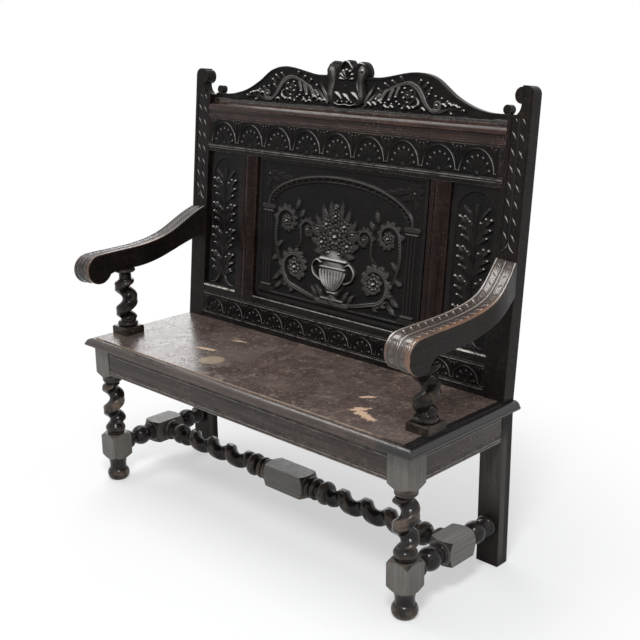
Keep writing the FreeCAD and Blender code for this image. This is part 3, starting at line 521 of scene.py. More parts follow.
# Which finish each piece of the joiner's work takes
dressing = {
    "blackLeg": ["front_leg_left", "front_leg_right"],
    "blackSideStretcher": ["side_stretcher_left", "side_stretcher_right"],
    "blackCrossStretcher": ["cross_stretcher"],
    "blackApron": ["front_apron", "rear_apron"],
    "blackSideApron": ["side_apron_left", "side_apron_right"],
    "blackUpright": ["rear_post_left", "rear_post_right"],
    "blackRail": ["bottom_rail", "frieze_rail", "crest_board", "crest_cartouche"],
    "glossyLip": ["crest_lip"],
    "brightSill": ["sill_bead_left", "sill_bead_right"],
    "dimSill": ["sill_bead_centre"],
    "blackSupport": ["arm_support_left", "arm_support_right"],
    "redUpright": ["muntin_left", "muntin_right"],
    "redRail": ["cornice_moulding"],
    "armOak": ["arm_left", "arm_right"],
    "carvedPanel": ["panel_left", "panel_centre", "panel_right"],
}


# The seat: worn brown nearly everywhere, still black along the right end

seat = {
    "black": (0.008, 0.007, 0.007), "deep": (0.060, 0.042, 0.037), "brown": (0.104, 0.075, 0.066),
    "warm": (0.150, 0.096, 0.072), "pale": (0.190, 0.155, 0.138), "scratch": (0.46, 0.36, 0.29),
    "bare": (0.60, 0.41, 0.28), "ring": (0.34, 0.26, 0.18), "worn": (0.17, 0.105, 0.075),
    "moulding": (0.024, 0.015, 0.012), "mouldingWorn": (0.060, 0.040, 0.032),
    "streak": 0.8, "markSize": 1.0, "fineMarkSize": 2.3, "wear": 0.75, "wearWidth": 0.0022,
    "topFrom": (0.4470, 0.4474), "blackFrom": 0.580, "frontBlackFrom": 0.500, "frontArris": -0.2205,
    "roughness": 0.24, "specular": 0.48, "coat": 0.12, "coatRoughness": 0.2, "bump": 0.4, "bumpDepth": 0.0005,
    # Spots and rings: place, half sizes and turn in degrees
    "bareSpots": [(-0.272, -0.072, 0.040, 0.0075, 12), (0.327, -0.053, 0.022, 0.0085, 40),
                  (0.366, -0.128, 0.024, 0.0120, 50), (0.404, -0.150, 0.040, 0.0120, -18),
                  (0.385, -0.143, 0.016, 0.016, 0), (-0.250, 0.040, 0.024, 0.005, 20)],
    "rings": [(-0.182, -0.126, 0.0370, 0.0345, 49)],
}


def spotDistance(tree, axes, spot, ragged):
    # Under 1 inside a turned oval, over 1 outside it, with its edge broken up by the ragged value
    x, y, halfX, halfY, angle = spot
    turn = math.radians(angle)
    dx = minus(tree, axes["X"], x)
    dy = minus(tree, axes["Y"], y)
    along = plus(tree, times(tree, dx, math.cos(turn) / halfX), times(tree, dy, math.sin(turn) / halfX))
    across = minus(tree, times(tree, dy, math.cos(turn) / halfY), times(tree, dx, math.sin(turn) / halfY))
    away = maths(tree, "SQRT", plus(tree, times(tree, along, along), times(tree, across, across)))
    return plus(tree, away, ragged)


def seatFinish():
    look = seat
    material, tree, shader, coordinates = newMaterial("wornSeatOak")
    grain = grainAlong(tree, coordinates, "X", look["streak"])
    marks = groupNode(tree, scuffGroup, coordinates, Size=look["markSize"])
    fineMarks = groupNode(tree, scuffGroup, coordinates, Size=look["fineMarkSize"])
    axes = axesOf(tree, coordinates)
    top = ramp(tree, axes["Z"], *look["topFrom"])
    wobble = times(tree, minus(tree, noise(tree, coordinates, 40.0, 5.0, 0.7), 0.5), 0.012)
    wandering = plus(tree, axes["X"], wobble)
    intact = ramp(tree, wandering, look["blackFrom"], look["blackFrom"] + 0.004)
    intactEdge = ramp(tree, wandering, look["frontBlackFrom"], look["frontBlackFrom"] + 0.03)

    # Brown ground, hazy and warm patches, grain
    colour = mixColour(tree, marks["Patches"], look["deep"], look["brown"])
    haze = ramp(tree, noise(tree, coordinates, 3.6, 4.0, 0.55), 0.42, 0.70)
    colour = tint(tree, colour, haze, 0.50, look["pale"])
    warmth = ramp(tree, noise(tree, coordinates, 11.0, 6.0, 0.65, 0.3), 0.50, 0.70)
    colour = tint(tree, colour, warmth, 0.45, look["warm"])
    colour = tint(tree, colour, ramp(tree, grain["Streaks"], 0.35, 0.75), 0.45, look["deep"])
    colour = tint(tree, colour, grain["Pores"], 0.6, look["black"])

    # Scuffs, thickest a little right of the middle
    scuffed = larger(tree, marks["Scratches"], fineMarks["Scratches"])
    scuffed = larger(tree, scuffed, times(tree, marks["Chips"], 0.24))
    centre = opposite(tree, ramp(tree, apart(tree, axes["X"], 0.10), 0.25, 0.75))
    amount = times(tree, scuffed, plus(tree, 0.16, times(tree, centre, 0.30)))
    colour = mixColour(tree, amount, colour, look["scratch"])

    # A cup ring and the bare spots, with ragged outlines
    ragged = times(tree, minus(tree, noise(tree, coordinates, 75.0, 6.0, 0.75), 0.5), 3.2)
    crumbs = times(tree, minus(tree, noise(tree, coordinates, 230.0, 3.0, 0.6), 0.5), 1.6)
    ragged = plus(tree, ragged, crumbs)
    soft = times(tree, ragged, 0.10)
    for spot in look["rings"]:
        away = spotDistance(tree, axes, spot, soft)
        inside = opposite(tree, ramp(tree, away, 0.94, 1.06))
        rim = opposite(tree, ramp(tree, apart(tree, away, 1.0), 0.03, 0.12))
        colour = tint(tree, colour, inside, 0.85, look["ring"])
        colour = tint(tree, colour, rim, 0.45, look["deep"])
    bared = None
    for spot in look["bareSpots"]:
        inside = opposite(tree, ramp(tree, spotDistance(tree, axes, spot, ragged), 0.80, 0.98))
        bared = inside if bared is None else larger(tree, bared, inside)
    colour = tint(tree, colour, bared, 0.85, look["bare"])
    colour = mixColour(tree, intact, colour, look["black"])

    # The moulded edge under the top, and the rubbed arris between them
    moulding = mixColour(tree, marks["Patches"], look["moulding"], look["mouldingWorn"])
    moulding = mixColour(tree, intactEdge, moulding, look["black"])
    colour = mixColour(tree, top, moulding, colour)
    broken = ramp(tree, noise(tree, coordinates, 30.0, 5.0, 0.7), 0.28, 0.50)
    arris = times(tree, lineMask(tree, coordinates, (0, 1, 0), look["frontArris"], 0.0011), broken)
    arris = times(tree, arris, opposite(tree, intactEdge))
    colour = tint(tree, colour, arris, 0.85, look["scratch"])
    edge = groupNode(tree, wearGroup, coordinates, Width=look["wearWidth"], Amount=look["wear"])
    kept = opposite(tree, times(tree, intactEdge, 0.8))
    colour = mixColour(tree, times(tree, edge["Mask"], kept), colour, look["worn"])

    # Duller where it is worn
    worn = times(tree, top, opposite(tree, intact))
    dull = plus(tree, times(tree, scuffed, 0.25), times(tree, bared, 0.3))
    dull = plus(tree, dull, times(tree, marks["Patches"], 0.06))
    roughness = plus(tree, look["roughness"], times(tree, worn, dull))
    height = minus(tree, grain["Height"], times(tree, scuffed, 0.6))
    setSurface(tree, shader, look, colour, roughness, height)
    return material


finishes["seatOak"] = seatFinish()
dressing["seatOak"] = ["seat_board"]

for finish, names in dressing.items():
    for name in names:
        mesh = nodes[name].data
        mesh.materials.clear()
        mesh.materials.append(finishes[finish])

print("stage: finishes")


# Carving. Every stroke is a cut or a swell along a path in the plane of a board, in metres.

def bezier(points, count=14):
    # Smooth path drawn by two, three or four control points
    share = np.linspace(0, 1, count)[:, None]
    left = 1 - share
    p = [np.array(q, float) for q in points]
    if len(p) == 2:
        return p[0] * left + p[1] * share
    if len(p) == 3:
        return p[0] * left ** 2 + 2 * p[1] * share * left + p[2] * share ** 2
    return p[0] * left ** 3 + 3 * p[1] * share * left ** 2 + 3 * p[2] * share ** 2 * left + p[3] * share ** 3


def throughPoints(points, each=6):
    # Catmull-Rom path through any number of points
    p = [np.array(q, float) for q in points]
    p = [2 * p[0] - p[1]] + p + [2 * p[-1] - p[-2]]
    path = []
    for k in range(1, len(p) - 2):
        for step in range(each):
            u = step / each
            path.append(0.5 * (2 * p[k] + (p[k + 1] - p[k - 1]) * u
                               + (2 * p[k - 1] - 5 * p[k] + 4 * p[k + 1] - p[k + 2]) * u ** 2
                               + (3 * p[k] - p[k - 1] - 3 * p[k + 1] + p[k + 2]) * u ** 3))
    path.append(p[-2])
    return np.array(path)


def arc(centre, radiusX, radiusY, start, end, count=24):
    angle = np.radians(np.linspace(start, end, count))
    return np.stack([centre[0] + radiusX * np.cos(angle), centre[1] + radiusY * np.sin(angle)], 1)


def spiral(centre, outer, inner, start, turns, count=40):
    share = np.linspace(0, 1, count)
    radius = outer * (inner / outer) ** share
    angle = np.radians(start) + share * turns * 2 * math.pi
    return np.stack([centre[0] + radius * np.cos(angle), centre[1] + radius * np.sin(angle)], 1)


def spread(value, share):
    # One number, or a list that is spread evenly along a path, for each of the path's shares
    if np.isscalar(value):
        return np.full(len(share), value)
    return np.interp(share, np.linspace(0, 1, len(value)), value)


class Relief:
    # A height field over a board's face, cut by strokes

    def __init__(self, x, z, ground=0.0):
        self.x, self.z = x, z
        self.height = np.full(x.shape, ground, float) if np.isscalar(ground) else ground.copy()

    def stroke(self, path, width, lift, section="round", sink=False):
        path = np.asarray(path, float)
        count = len(path)
        share = np.linspace(0, 1, count)
        width = spread(width, share)
        lift = spread(lift, share)
        reach = width.max() * 1.02
        near = ((self.x > path[:, 0].min() - reach) & (self.x < path[:, 0].max() + reach)
                & (self.z > path[:, 1].min() - reach) & (self.z < path[:, 1].max() + reach))
        if not near.any():
            return
        x, z = self.x[near], self.z[near]
        best = np.zeros(x.shape)
        for k in range(count - 1):
            a, b = path[k], path[k + 1]
            d = b - a
            size = max(float(d @ d), 1e-12)
            u = np.clip(((x - a[0]) * d[0] + (z - a[1]) * d[1]) / size, 0, 1)
            away = np.hypot(x - a[0] - u * d[0], z - a[1] - u * d[1])
            w = np.maximum(width[k] + (width[k + 1] - width[k]) * u, 1e-5)
            h = lift[k] + (lift[k + 1] - lift[k]) * u
            q = np.clip(1 - (away / w) ** 2, 0, 1)
            if section == "round":
                shape = np.sqrt(q)
            elif section == "ridge":
                shape = np.clip(1 - away / w, 0, 1) ** 0.8
            elif section == "gouge":
                shape = np.sqrt(q) * (1 - 0.42 * np.exp(-(away / (0.42 * w)) ** 2))
            else:
                shape = np.clip(q * 6, 0, 1)
            best = np.maximum(best, h * shape)
        if sink:
            self.height[near] -= best
        else:
            self.height[near] = np.maximum(self.height[near], best)

    def dome(self, centre, radius, lift):
        away = np.hypot(self.x - centre[0], self.z - centre[1])
        q = np.clip(1 - (away / radius) ** 2, 0, 1)
        self.height = np.maximum(self.height, lift * np.sqrt(q))


def leafLobe(relief, root, tip, bend, width, lift, nib=True):
    # A gouged lobe that widens from its root to a tip that curls over
    root, tip = np.array(root, float), np.array(tip, float)
    middle = (root + tip) / 2 + np.array([-(tip - root)[1], (tip - root)[0]]) * bend
    relief.stroke(bezier([root, middle, tip], 12), [width * 0.22, width * 0.6, width, width * 0.72],
                  [lift * 0.30, lift * 0.62, lift * 0.92, lift], "gouge")
    if nib:
        relief.dome(tip, width * 0.80, lift * 1.16)


def pointedLeaf(relief, root, tip, bend, width, lift):
    # A leaf blade with a raised vein, widest a third of the way along
    root, tip = np.array(root, float), np.array(tip, float)
    middle = (root + tip) / 2 + np.array([-(tip - root)[1], (tip - root)[0]]) * bend
    path = bezier([root, middle, tip], 14)
    relief.stroke(path, [width * 0.30, width * 0.92, width, width * 0.72, width * 0.12],
                  [lift * 0.55, lift * 0.85, lift, lift, lift * 0.75], "gouge")
    relief.stroke(path, [width * 0.12, width * 0.14, width * 0.08], [lift * 0.7, lift * 1.02, lift * 0.8],
                  "ridge")


def toolMarks(x, z, size, seed):
    # The small unevenness that a gouge leaves on a ground
    rng = np.random.default_rng(seed)
    marks = np.zeros(x.shape)
    for k in range(5):
        fx, fz = rng.uniform(0.6, 1.6, 2) * 2 * math.pi / 0.006 / (1 + k * 0.4)
        turn = rng.uniform(0, math.pi)
        marks += np.sin(fx * (x * math.cos(turn) + z * math.sin(turn)) + rng.uniform(0, 6.28)) * np.sin(
            fz * (z * math.cos(turn) - x * math.sin(turn)) + rng.uniform(0, 6.28))
    return marks / 5 * size


def addObject(name, data):
    made = bpy.data.objects.new(name, data)
    bpy.context.scene.collection.objects.link(made)
    return made


def pointValues(mesh, name, values):
    # A number for each point, read by the finishes; the hidden points at the end get 0
    full = np.zeros(len(mesh.vertices), np.float32)
    full[:len(values)] = values
    mesh.attributes.new(name, "FLOAT", "POINT").data.foreach_set("value", full)


def sheetFaces(rows, columns):
    # Faces of a grid of points, and of the sides from its rim to a second rim, whose points follow the grid's
    index = np.arange(rows * columns).reshape(rows, columns)
    grid = np.stack([index[:-1, :-1], index[:-1, 1:], index[1:, 1:], index[1:, :-1]], 2).reshape(-1, 4)
    rim = np.concatenate([index[0, :-1], index[:-1, -1], index[-1, :0:-1], index[:0:-1, 0]])
    skirt = np.arange(len(rim)) + rows * columns
    near = np.concatenate([rim, rim[:1]])
    far = np.concatenate([skirt, skirt[:1]])
    sides = np.stack([near[1:], near[:-1], far[:-1], far[1:]], 1)
    return index, rim, skirt, [tuple(q) for q in np.concatenate([grid, sides])]


def boardMesh(name, x, z, height, face, back, place=leanMatrix):
    # A closed board: carved front at depth face - height, sides, and a flat hidden back
    front = np.stack([x, face - height, z], 2).reshape(-1, 3)
    rear = front.copy()
    rear[:, 1] = back
    index, rim, skirt, faces = sheetFaces(*x.shape)
    mesh = bpy.data.meshes.new(name)
    mesh.from_pydata([tuple(v) for v in np.concatenate([front, rear[rim]])], [],
                     faces + [tuple(int(v) for v in skirt[::-1])])
    mesh.update()
    flat = height.reshape(-1)
    low, high = np.percentile(flat, 2), np.percentile(flat, 99.5)
    pointValues(mesh, "relief", np.clip((flat - low) / max(high - low, 1e-6), 0, 1))
    mesh.polygons.foreach_set("use_smooth", [True] * len(faces) + [False])
    mesh.transform(place)
    return addObject(name, mesh)


def dressPiece(piece, finish):
    piece.data.materials.clear()
    piece.data.materials.append(finishes[finish])
    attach(piece, "root")
    return piece


def fieldGrid(left, right, low, high, step):
    columns = max(4, round((right - left) / step) + 1)
    rows = max(4, round((high - low) / step) + 1)
    return np.meshgrid(np.linspace(left, right, columns), np.linspace(low, high, rows))


# A run of lunettes: one carved tile, laid out by geometry nodes

def lunetteTile(name, width, height, step, look):
    x, z = fieldGrid(-width / 2, width / 2, 0, height, step)
    relief = Relief(x, z, look["ground"])
    radius, rise, foot, lift = look["radius"], look["rise"], look["foot"], look["lift"]
    relief.stroke(arc((0, foot), radius, rise, 2, 178, 48), look["rimWidth"], look["rimLift"], "ridge")
    inner = (radius - look["rimWidth"] * 2.6) / radius
    for k in range(look["petals"]):
        angle = math.radians(12 + (180 - 24) * k / (look["petals"] - 1))
        tip = (radius * inner * 0.86 * math.cos(angle), foot + rise * inner * 0.86 * math.sin(angle))
        root = (radius * 0.20 * math.cos(angle), foot + rise * 0.16 * math.sin(angle))
        leafLobe(relief, root, tip, -0.12 * math.cos(angle), look["petalWidth"], lift)
    for k in range(look["petals"] - 1):
        angle = math.radians(12 + (180 - 24) * (k + 0.5) / (look["petals"] - 1))
        relief.dome((radius * inner * 0.58 * math.cos(angle), foot + rise * inner * 0.58 * math.sin(angle)),
                    look["petalWidth"] * 0.34, lift * 0.7)
    relief.dome((0, foot), radius * 0.15, lift)
    for side in (-1, 1):
        corner = side * width / 2
        relief.dome((corner - side * 0.001, foot + height * 0.05), look["rimWidth"] * 1.0, lift)
        for reach, top, low in ((0.05, 0.90, 0.52), (0.155, 0.95, 0.60)):
            leafLobe(relief, (corner - side * width * 0.015, height * low),
                     (corner - side * width * reach, height * top), side * 0.20, look["petalWidth"] * 0.66,
                     lift * 0.9)
        relief.stroke([(corner, height * 0.16), (corner, height * 0.88)], 0.0016, lift * 0.5, "ridge")
    relief.height += toolMarks(x, z, 0.00012, 3)
    return boardMesh(name, x, z, relief.height, 0.0, look["back"], Matrix.Identity(4))


def newTree(name, inputs):
    tree = bpy.data.node_groups.new(name, "GeometryNodeTree")
    tree.interface.new_socket(name="Geometry", in_out="OUTPUT", socket_type="NodeSocketGeometry")
    identifiers = {}
    for label, kind, value in inputs:
        socket = tree.interface.new_socket(name=label, in_out="INPUT", socket_type=kind)
        if value is not None:
            socket.default_value = value
        identifiers[label] = socket.identifier
    return tree, identifiers


def runTree():
    # Points along a line, a carved tile on each, its relief varied a little by a fixed seed
    tree, identifiers = newTree("carvedRun", [
        ("Tile", "NodeSocketObject", None), ("Count", "NodeSocketInt", 9), ("Pitch", "NodeSocketFloat", 0.1),
        ("Start", "NodeSocketVector", None), ("Uneven", "NodeSocketFloat", 0.06),
        ("Seed", "NodeSocketInt", 1), ("Finish", "NodeSocketMaterial", None)])
    entry = tree.nodes.new("NodeGroupInput")
    leave = tree.nodes.new("NodeGroupOutput")
    line = tree.nodes.new("GeometryNodeMeshLine")
    line.mode = "OFFSET"
    offset = tree.nodes.new("ShaderNodeCombineXYZ")
    tree.links.new(entry.outputs["Pitch"], offset.inputs["X"])
    tree.links.new(entry.outputs["Count"], line.inputs["Count"])
    tree.links.new(entry.outputs["Start"], line.inputs["Start Location"])
    tree.links.new(offset.outputs[0], line.inputs["Offset"])
    source = tree.nodes.new("GeometryNodeObjectInfo")
    source.transform_space = "ORIGINAL"
    tree.links.new(entry.outputs["Tile"], source.inputs["Object"])
    vary = tree.nodes.new("FunctionNodeRandomValue")
    vary.data_type = "FLOAT"
    tree.links.new(opposite(tree, entry.outputs["Uneven"]), vary.inputs[2])
    vary.inputs[3].default_value = 1.0
    tree.links.new(entry.outputs["Seed"], vary.inputs["Seed"])
    scale = tree.nodes.new("ShaderNodeCombineXYZ")
    scale.inputs["X"].default_value = 1.0
    scale.inputs["Z"].default_value = 1.0
    tree.links.new(vary.outputs[1], scale.inputs["Y"])
    place = tree.nodes.new("GeometryNodeInstanceOnPoints")
    tree.links.new(line.outputs[0], place.inputs["Points"])
    tree.links.new(source.outputs["Geometry"], place.inputs["Instance"])
    tree.links.new(scale.outputs[0], place.inputs["Scale"])
    realise = tree.nodes.new("GeometryNodeRealizeInstances")
    finish = tree.nodes.new("GeometryNodeSetMaterial")
    tree.links.new(place.outputs[0], realise.inputs[0])
    tree.links.new(realise.outputs[0], finish.inputs["Geometry"])
    tree.links.new(entry.outputs["Finish"], finish.inputs["Material"])
    tree.links.new(finish.outputs[0], leave.inputs[0])
    return tree, identifiers


carvedRun, runInputs = runTree()


def layRun(name, tile, count, pitch, start, seed, finish):
    holder = addObject(name + "Holder", bpy.data.meshes.new(name + "Holder"))
    modifier = holder.modifiers.new("run", "NODES")
    modifier.node_group = carvedRun
    values = {"Tile": tile, "Count": count, "Pitch": pitch, "Start": start, "Uneven": 0.08, "Seed": seed,
              "Finish": finishes[finish]}
    for label, value in values.items():
        modifier[runInputs[label]] = value
    bpy.context.view_layer.update()
    graph = bpy.context.evaluated_depsgraph_get()
    mesh = bpy.data.meshes.new_from_object(holder.evaluated_get(graph))
    mesh.name = name
    mesh.transform(leanMatrix)
    bpy.data.objects.remove(holder)
    tileMesh = tile.data
    bpy.data.objects.remove(tile)
    bpy.data.meshes.remove(tileMesh)
    return addObject(name, mesh)


lunettes = {
    "frieze": {"count": 9, "pitch": 0.1154, "middle": -0.0035, "low": 0.5405, "high": 0.6120, "step": 0.0011,
               "ground": 0.0006, "radius": 0.0520, "rise": 0.0600, "foot": 0.0035, "rimWidth": 0.0034,
               "rimLift": 0.0048, "petals": 7, "petalWidth": 0.0066, "lift": 0.0040, "back": 0.002},
    "rail": {"count": 12, "pitch": 0.0872, "middle": 0.0, "low": 0.0240, "high": 0.0712, "step": 0.0010,
             "ground": 0.0006, "radius": 0.0385, "rise": 0.0395, "foot": 0.0022, "rimWidth": 0.0028,
             "rimLift": 0.0040, "petals": 5, "petalWidth": 0.0060, "lift": 0.0034, "back": 0.002},
}


def carveLunettes(name, look, seed):
    tile = lunetteTile(name + "Tile", look["pitch"], look["high"] - look["low"], look["step"], look)
    first = look["middle"] - look["pitch"] * (look["count"] - 1) / 2
    run = layRun(name, tile, look["count"], look["pitch"], (first, bench["railFace"], look["low"]), seed,
                 "carvedRail")
    return dressPiece(run, "carvedRail")


carveLunettes("friezeLunettes", lunettes["frieze"], 4)
carveLunettes("railLunettes", lunettes["rail"], 9)
print("stage: lunettes")


# Side panels: a tall acanthus stem on a sunk ground with an arched head

sidePanel = {
    "left": -0.535, "right": -0.384, "low": 0.1052, "high": 0.5165, "step": 0.0011, "stem": -0.463,
    "margin": 0.019, "archHead": 0.499, "rim": 0.0034, "ground": 0.0006, "lift": 0.0082,
    "tiers": [0.210, 0.285, 0.360, 0.435], "topLeaf": 0.460, "fullness": 1.18,
}

def acanthusStem(relief, look, stem):
    lift = look["lift"]
    foot, crown = look["low"] + 0.004, look["topLeaf"]

    def put(side, base, *points):
        return [(stem + side * px, base + pz) for px, pz in points]

    def lobe(side, base, root, tip, bend, width, share, nib=True):
        leafLobe(relief, *put(side, base, root, tip), side * bend, width * look["fullness"], lift * share,
                 nib)

    relief.stroke([(stem, foot + 0.030), (stem, crown - 0.012)], [0.0042, 0.0030, 0.0020],
                  [lift * 0.62, lift * 0.5], "round")
    for side in (-1, 1):
        relief.stroke(bezier(put(side, foot, (0.001, 0.066), (0.006, 0.030), (0.022, 0.006), (0.050, 0.003))),
                      [0.0022, 0.0052, 0.0050, 0.0040], [lift * 0.6, lift * 0.95, lift], "gouge")
        relief.stroke(bezier(put(side, foot, (0.004, 0.024), (0.014, 0.006), (0.026, 0))),
                      [0.0016, 0.0034], [lift * 0.4, lift * 0.7], "round")
        lobe(side, foot, (0.014, 0.034), (0.042, 0.050), 0.16, 0.0050, 0.85)
        lobe(side, foot, (0.012, 0.046), (0.038, 0.072), 0.16, 0.0052, 0.88)
    for tip in look["tiers"]:
        for side in (-1, 1):
            # Blade of the leaf, then its lobes: three at the head and two along the outer edge
            relief.stroke(bezier(put(side, tip, (0.003, -0.070), (0.012, -0.044), (0.030, -0.012))),
                          [0.0050, 0.0110, 0.0120], [lift * 0.28, lift * 0.42, lift * 0.40], "round")
            relief.stroke(bezier(put(side, tip, (0.002, -0.066), (0.008, -0.040), (0.022, -0.012))),
                          0.0018, [lift * 0.4, lift * 0.62], "ridge")
            lobe(side, tip, (0.020, -0.030), (0.047, 0), 0.14, 0.0064, 1)
            lobe(side, tip, (0.015, -0.030), (0.031, 0.001), 0.12, 0.0056, 0.98)
            lobe(side, tip, (0.008, -0.036), (0.016, -0.010), 0.10, 0.0048, 0.92)
            lobe(side, tip, (0.017, -0.046), (0.045, -0.025), 0.18, 0.0058, 0.95)
            lobe(side, tip, (0.010, -0.068), (0.037, -0.046), 0.18, 0.0056, 0.92)
    for side in (-1, 1):
        lobe(side, crown, (0.006, -0.048), (0.036, 0), 0.16, 0.0062, 0.9, False)
    lobe(1, crown, (0, -0.050), (0, 0.006), 0, 0.0056, 0.8, False)


def carveSidePanel(name, mirror):
    look = sidePanel
    x, z = fieldGrid(look["left"], look["right"], look["low"], look["high"], look["step"])
    half = (look["right"] - look["left"]) / 2 - look["margin"]
    centre = (look["left"] + look["right"]) / 2
    springing = look["archHead"] - half
    aside = np.abs(x - centre)
    inside = np.where(z < springing, aside - half, np.hypot(aside, z - springing) - half)
    inside = np.maximum(inside, look["low"] + 0.008 - z)
    wall = np.clip(inside / 0.0022 + 0.5, 0, 1)
    ground = look["ground"] + toolMarks(x, z, 0.00025, 11)
    relief = Relief(x, z, ground)
    acanthusStem(relief, look, look["stem"])
    frameHeight = np.full(x.shape, look["rim"]) + toolMarks(x, z, 0.00005, 5)
    corner = (z > springing + half * 0.55) & (inside > 0.004)
    frameHeight = np.where(corner, frameHeight - 0.0012, frameHeight)
    height = relief.height * (1 - wall) + frameHeight * wall
    if mirror:
        x = -x[:, ::-1]
        height = height[:, ::-1]
    piece = boardMesh(name, x, z, height, bench["panelFace"], bench["panelFace"] + 0.002)
    return dressPiece(piece, "carvedPanel")


carveSidePanel("leftPanelCarving", False)
carveSidePanel("rightPanelCarving", True)
print("stage: side panels")


# Centre panel: an urn of flowers and scrolling leaves under an arch on two shafts

centrePanel = {
    "left": -0.312, "right": 0.312, "low": 0.1052, "high": 0.5165, "step": 0.0017, "margin": 0.010,
    "rim": 0.0040, "ground": 0.0008, "lift": 0.0108,
    "archReach": 0.268, "archRise": 0.100, "springing": 0.262,
}


def scroll(relief, side, lead, centre, outer, start, turns, width, lift, throw=0.5):
    # A stem that leads into a coil and throws leaves off its outer side
    relief.stroke(throughPoints([(side * px, pz) for px, pz in lead]), [width * 0.75, width],
                  [lift * 0.75, lift], "gouge")
    middle = np.array([side * centre[0], centre[1]])
    coil = spiral((0, 0), outer, outer * 0.32, start, turns, 64)
    coil[:, 0] *= side
    coil += middle
    relief.stroke(coil, [width, width * 0.62], [lift, lift * 0.8], "gouge")
    leaves = round(turns * 8)
    for k in range(leaves):
        at = round(k / leaves * 0.66 * 63)
        ahead = coil[at + 2] - coil[at]
        ahead /= np.linalg.norm(ahead)
        outward = coil[at] - middle
        outward /= np.linalg.norm(outward)
        reach = outer * throw * (1 - 0.45 * k / leaves)
        for out, along, size in ((0.85, 0.75, 1.0), (0.40, 1.05, 0.8)):
            pointedLeaf(relief, coil[at], coil[at] + outward * reach * out + ahead * reach * along,
                        side * -0.22, width * 1.15 * size, lift * 0.86)


def rosette(relief, centre, radius, petals, lift, turn=0.0):
    for ring, share, height in ((0, 1.0, 0.80), (1, 0.62, 1.0)):
        for k in range(petals):
            angle = turn + 2 * math.pi * (k + ring * 0.5) / petals
            tip = (centre[0] + radius * share * 0.82 * math.cos(angle),
                   centre[1] + radius * share * 0.82 * math.sin(angle))
            root = (centre[0] + radius * 0.15 * math.cos(angle), centre[1] + radius * 0.15 * math.sin(angle))
            relief.stroke([root, tip], [radius * 0.16 * share, radius * 0.34 * share],
                          [lift * height * 0.55, lift * height], "gouge")
    relief.dome(centre, radius * 0.24, lift * 1.22)


def carveTemple(relief, look, foot):
    # Two fluted shafts and the arch that they carry
    for side in (-1, 1):
        shaft = side * look["archReach"]
        for offset in (-0.0115, 0.0, 0.0115):
            flute = shaft + offset
            relief.stroke([(flute, foot + 0.032), (flute, foot + 0.236)], 0.0048, 0.0050, "round")
        for low, half, width, rise in ((0.010, 0.022, 0.0090, 0.0050), (0.024, 0.018, 0.0042, 0.0064),
                                       (0.243, 0.018, 0.0042, 0.0064), (0.255, 0.022, 0.0068, 0.0056)):
            relief.stroke([(shaft - half, foot + low), (shaft + half, foot + low)], width, rise, "flat")
    springing = foot + look["springing"]
    reach, rise = look["archReach"], look["archRise"]
    relief.stroke(arc((0, springing), reach, rise, 0, 180, 60), 0.0062, 0.0062, "round")
    relief.stroke(arc((0, springing), reach - 0.018, rise - 0.014, 0, 180, 60), 0.0030, 0.0048, "round")
    beads = 27
    for k in range(beads):
        angle = math.radians(8 + 164 * k / (beads - 1))
        relief.dome(((reach - 0.0098) * math.cos(angle), springing + (rise - 0.0072) * math.sin(angle)),
                    0.0034, 0.0062)
    for side in (-1, 1):
        corner = (side * 0.268, look["high"] - 0.044)
        rosette(relief, corner, 0.024, 7, 0.0060, 0.3)
        for px, pz in ((0.172, -0.002), (0.205, 0.006), (0.228, -0.020), (0.274, -0.046), (0.240, 0.010)):
            pointedLeaf(relief, (side * (px * 0.35 + 0.268 * 0.65), corner[1] + pz * 0.35),
                        (side * px, corner[1] + pz), side * 0.12, 0.0080, 0.0052)


def carveUrn(relief, look, foot):
    lift = look["lift"]
    relief.stroke([(-0.250, foot + 0.004), (0.250, foot + 0.004)], 0.0042, 0.0056, "round")
    relief.stroke([(-0.058, foot + 0.013), (0.058, foot + 0.013)], 0.0070, 0.0066, "flat")
    relief.stroke([(-0.040, foot + 0.024), (0.040, foot + 0.024)], 0.0056, 0.0082, "round")
    relief.stroke([(0, foot + 0.024), (0, foot + 0.046)], [0.028, 0.010], [0.0078, 0.0092], "round")
    relief.stroke([(-0.014, foot + 0.044), (0.014, foot + 0.044)], 0.0040, lift, "round")
    bowl = [(0.012, 0.046), (0.034, 0.056), (0.050, 0.080), (0.053, 0.104), (0.043, 0.122), (0.034, 0.134)]
    for low, high in zip(bowl[:-1], bowl[1:]):
        relief.stroke([(0, foot + low[1]), (0, foot + high[1])], [low[0], high[0]], [lift * 0.92, lift],
                      "round")
    for k in range(-4, 5):
        relief.stroke(bezier([(k * 0.0026, foot + 0.050), (k * 0.0112, foot + 0.070),
                              (k * 0.0116, foot + 0.104)]),
                      [0.0022, 0.0050, 0.0044, 0.0020], [lift * 1.0, lift * 1.22, lift * 1.12], "round")
    relief.stroke([(-0.046, foot + 0.114), (0.046, foot + 0.114)], 0.0026, lift * 1.22, "round")
    relief.stroke([(-0.047, foot + 0.136), (0.047, foot + 0.136)], 0.0056, lift * 1.22, "round")
    for side in (-1, 1):
        relief.stroke(throughPoints([(side * 0.046, foot + 0.074), (side * 0.072, foot + 0.088),
                                     (side * 0.078, foot + 0.112), (side * 0.062, foot + 0.130),
                                     (side * 0.046, foot + 0.124)]),
                      [0.0048, 0.0052, 0.0036], [lift * 0.85, lift], "round")


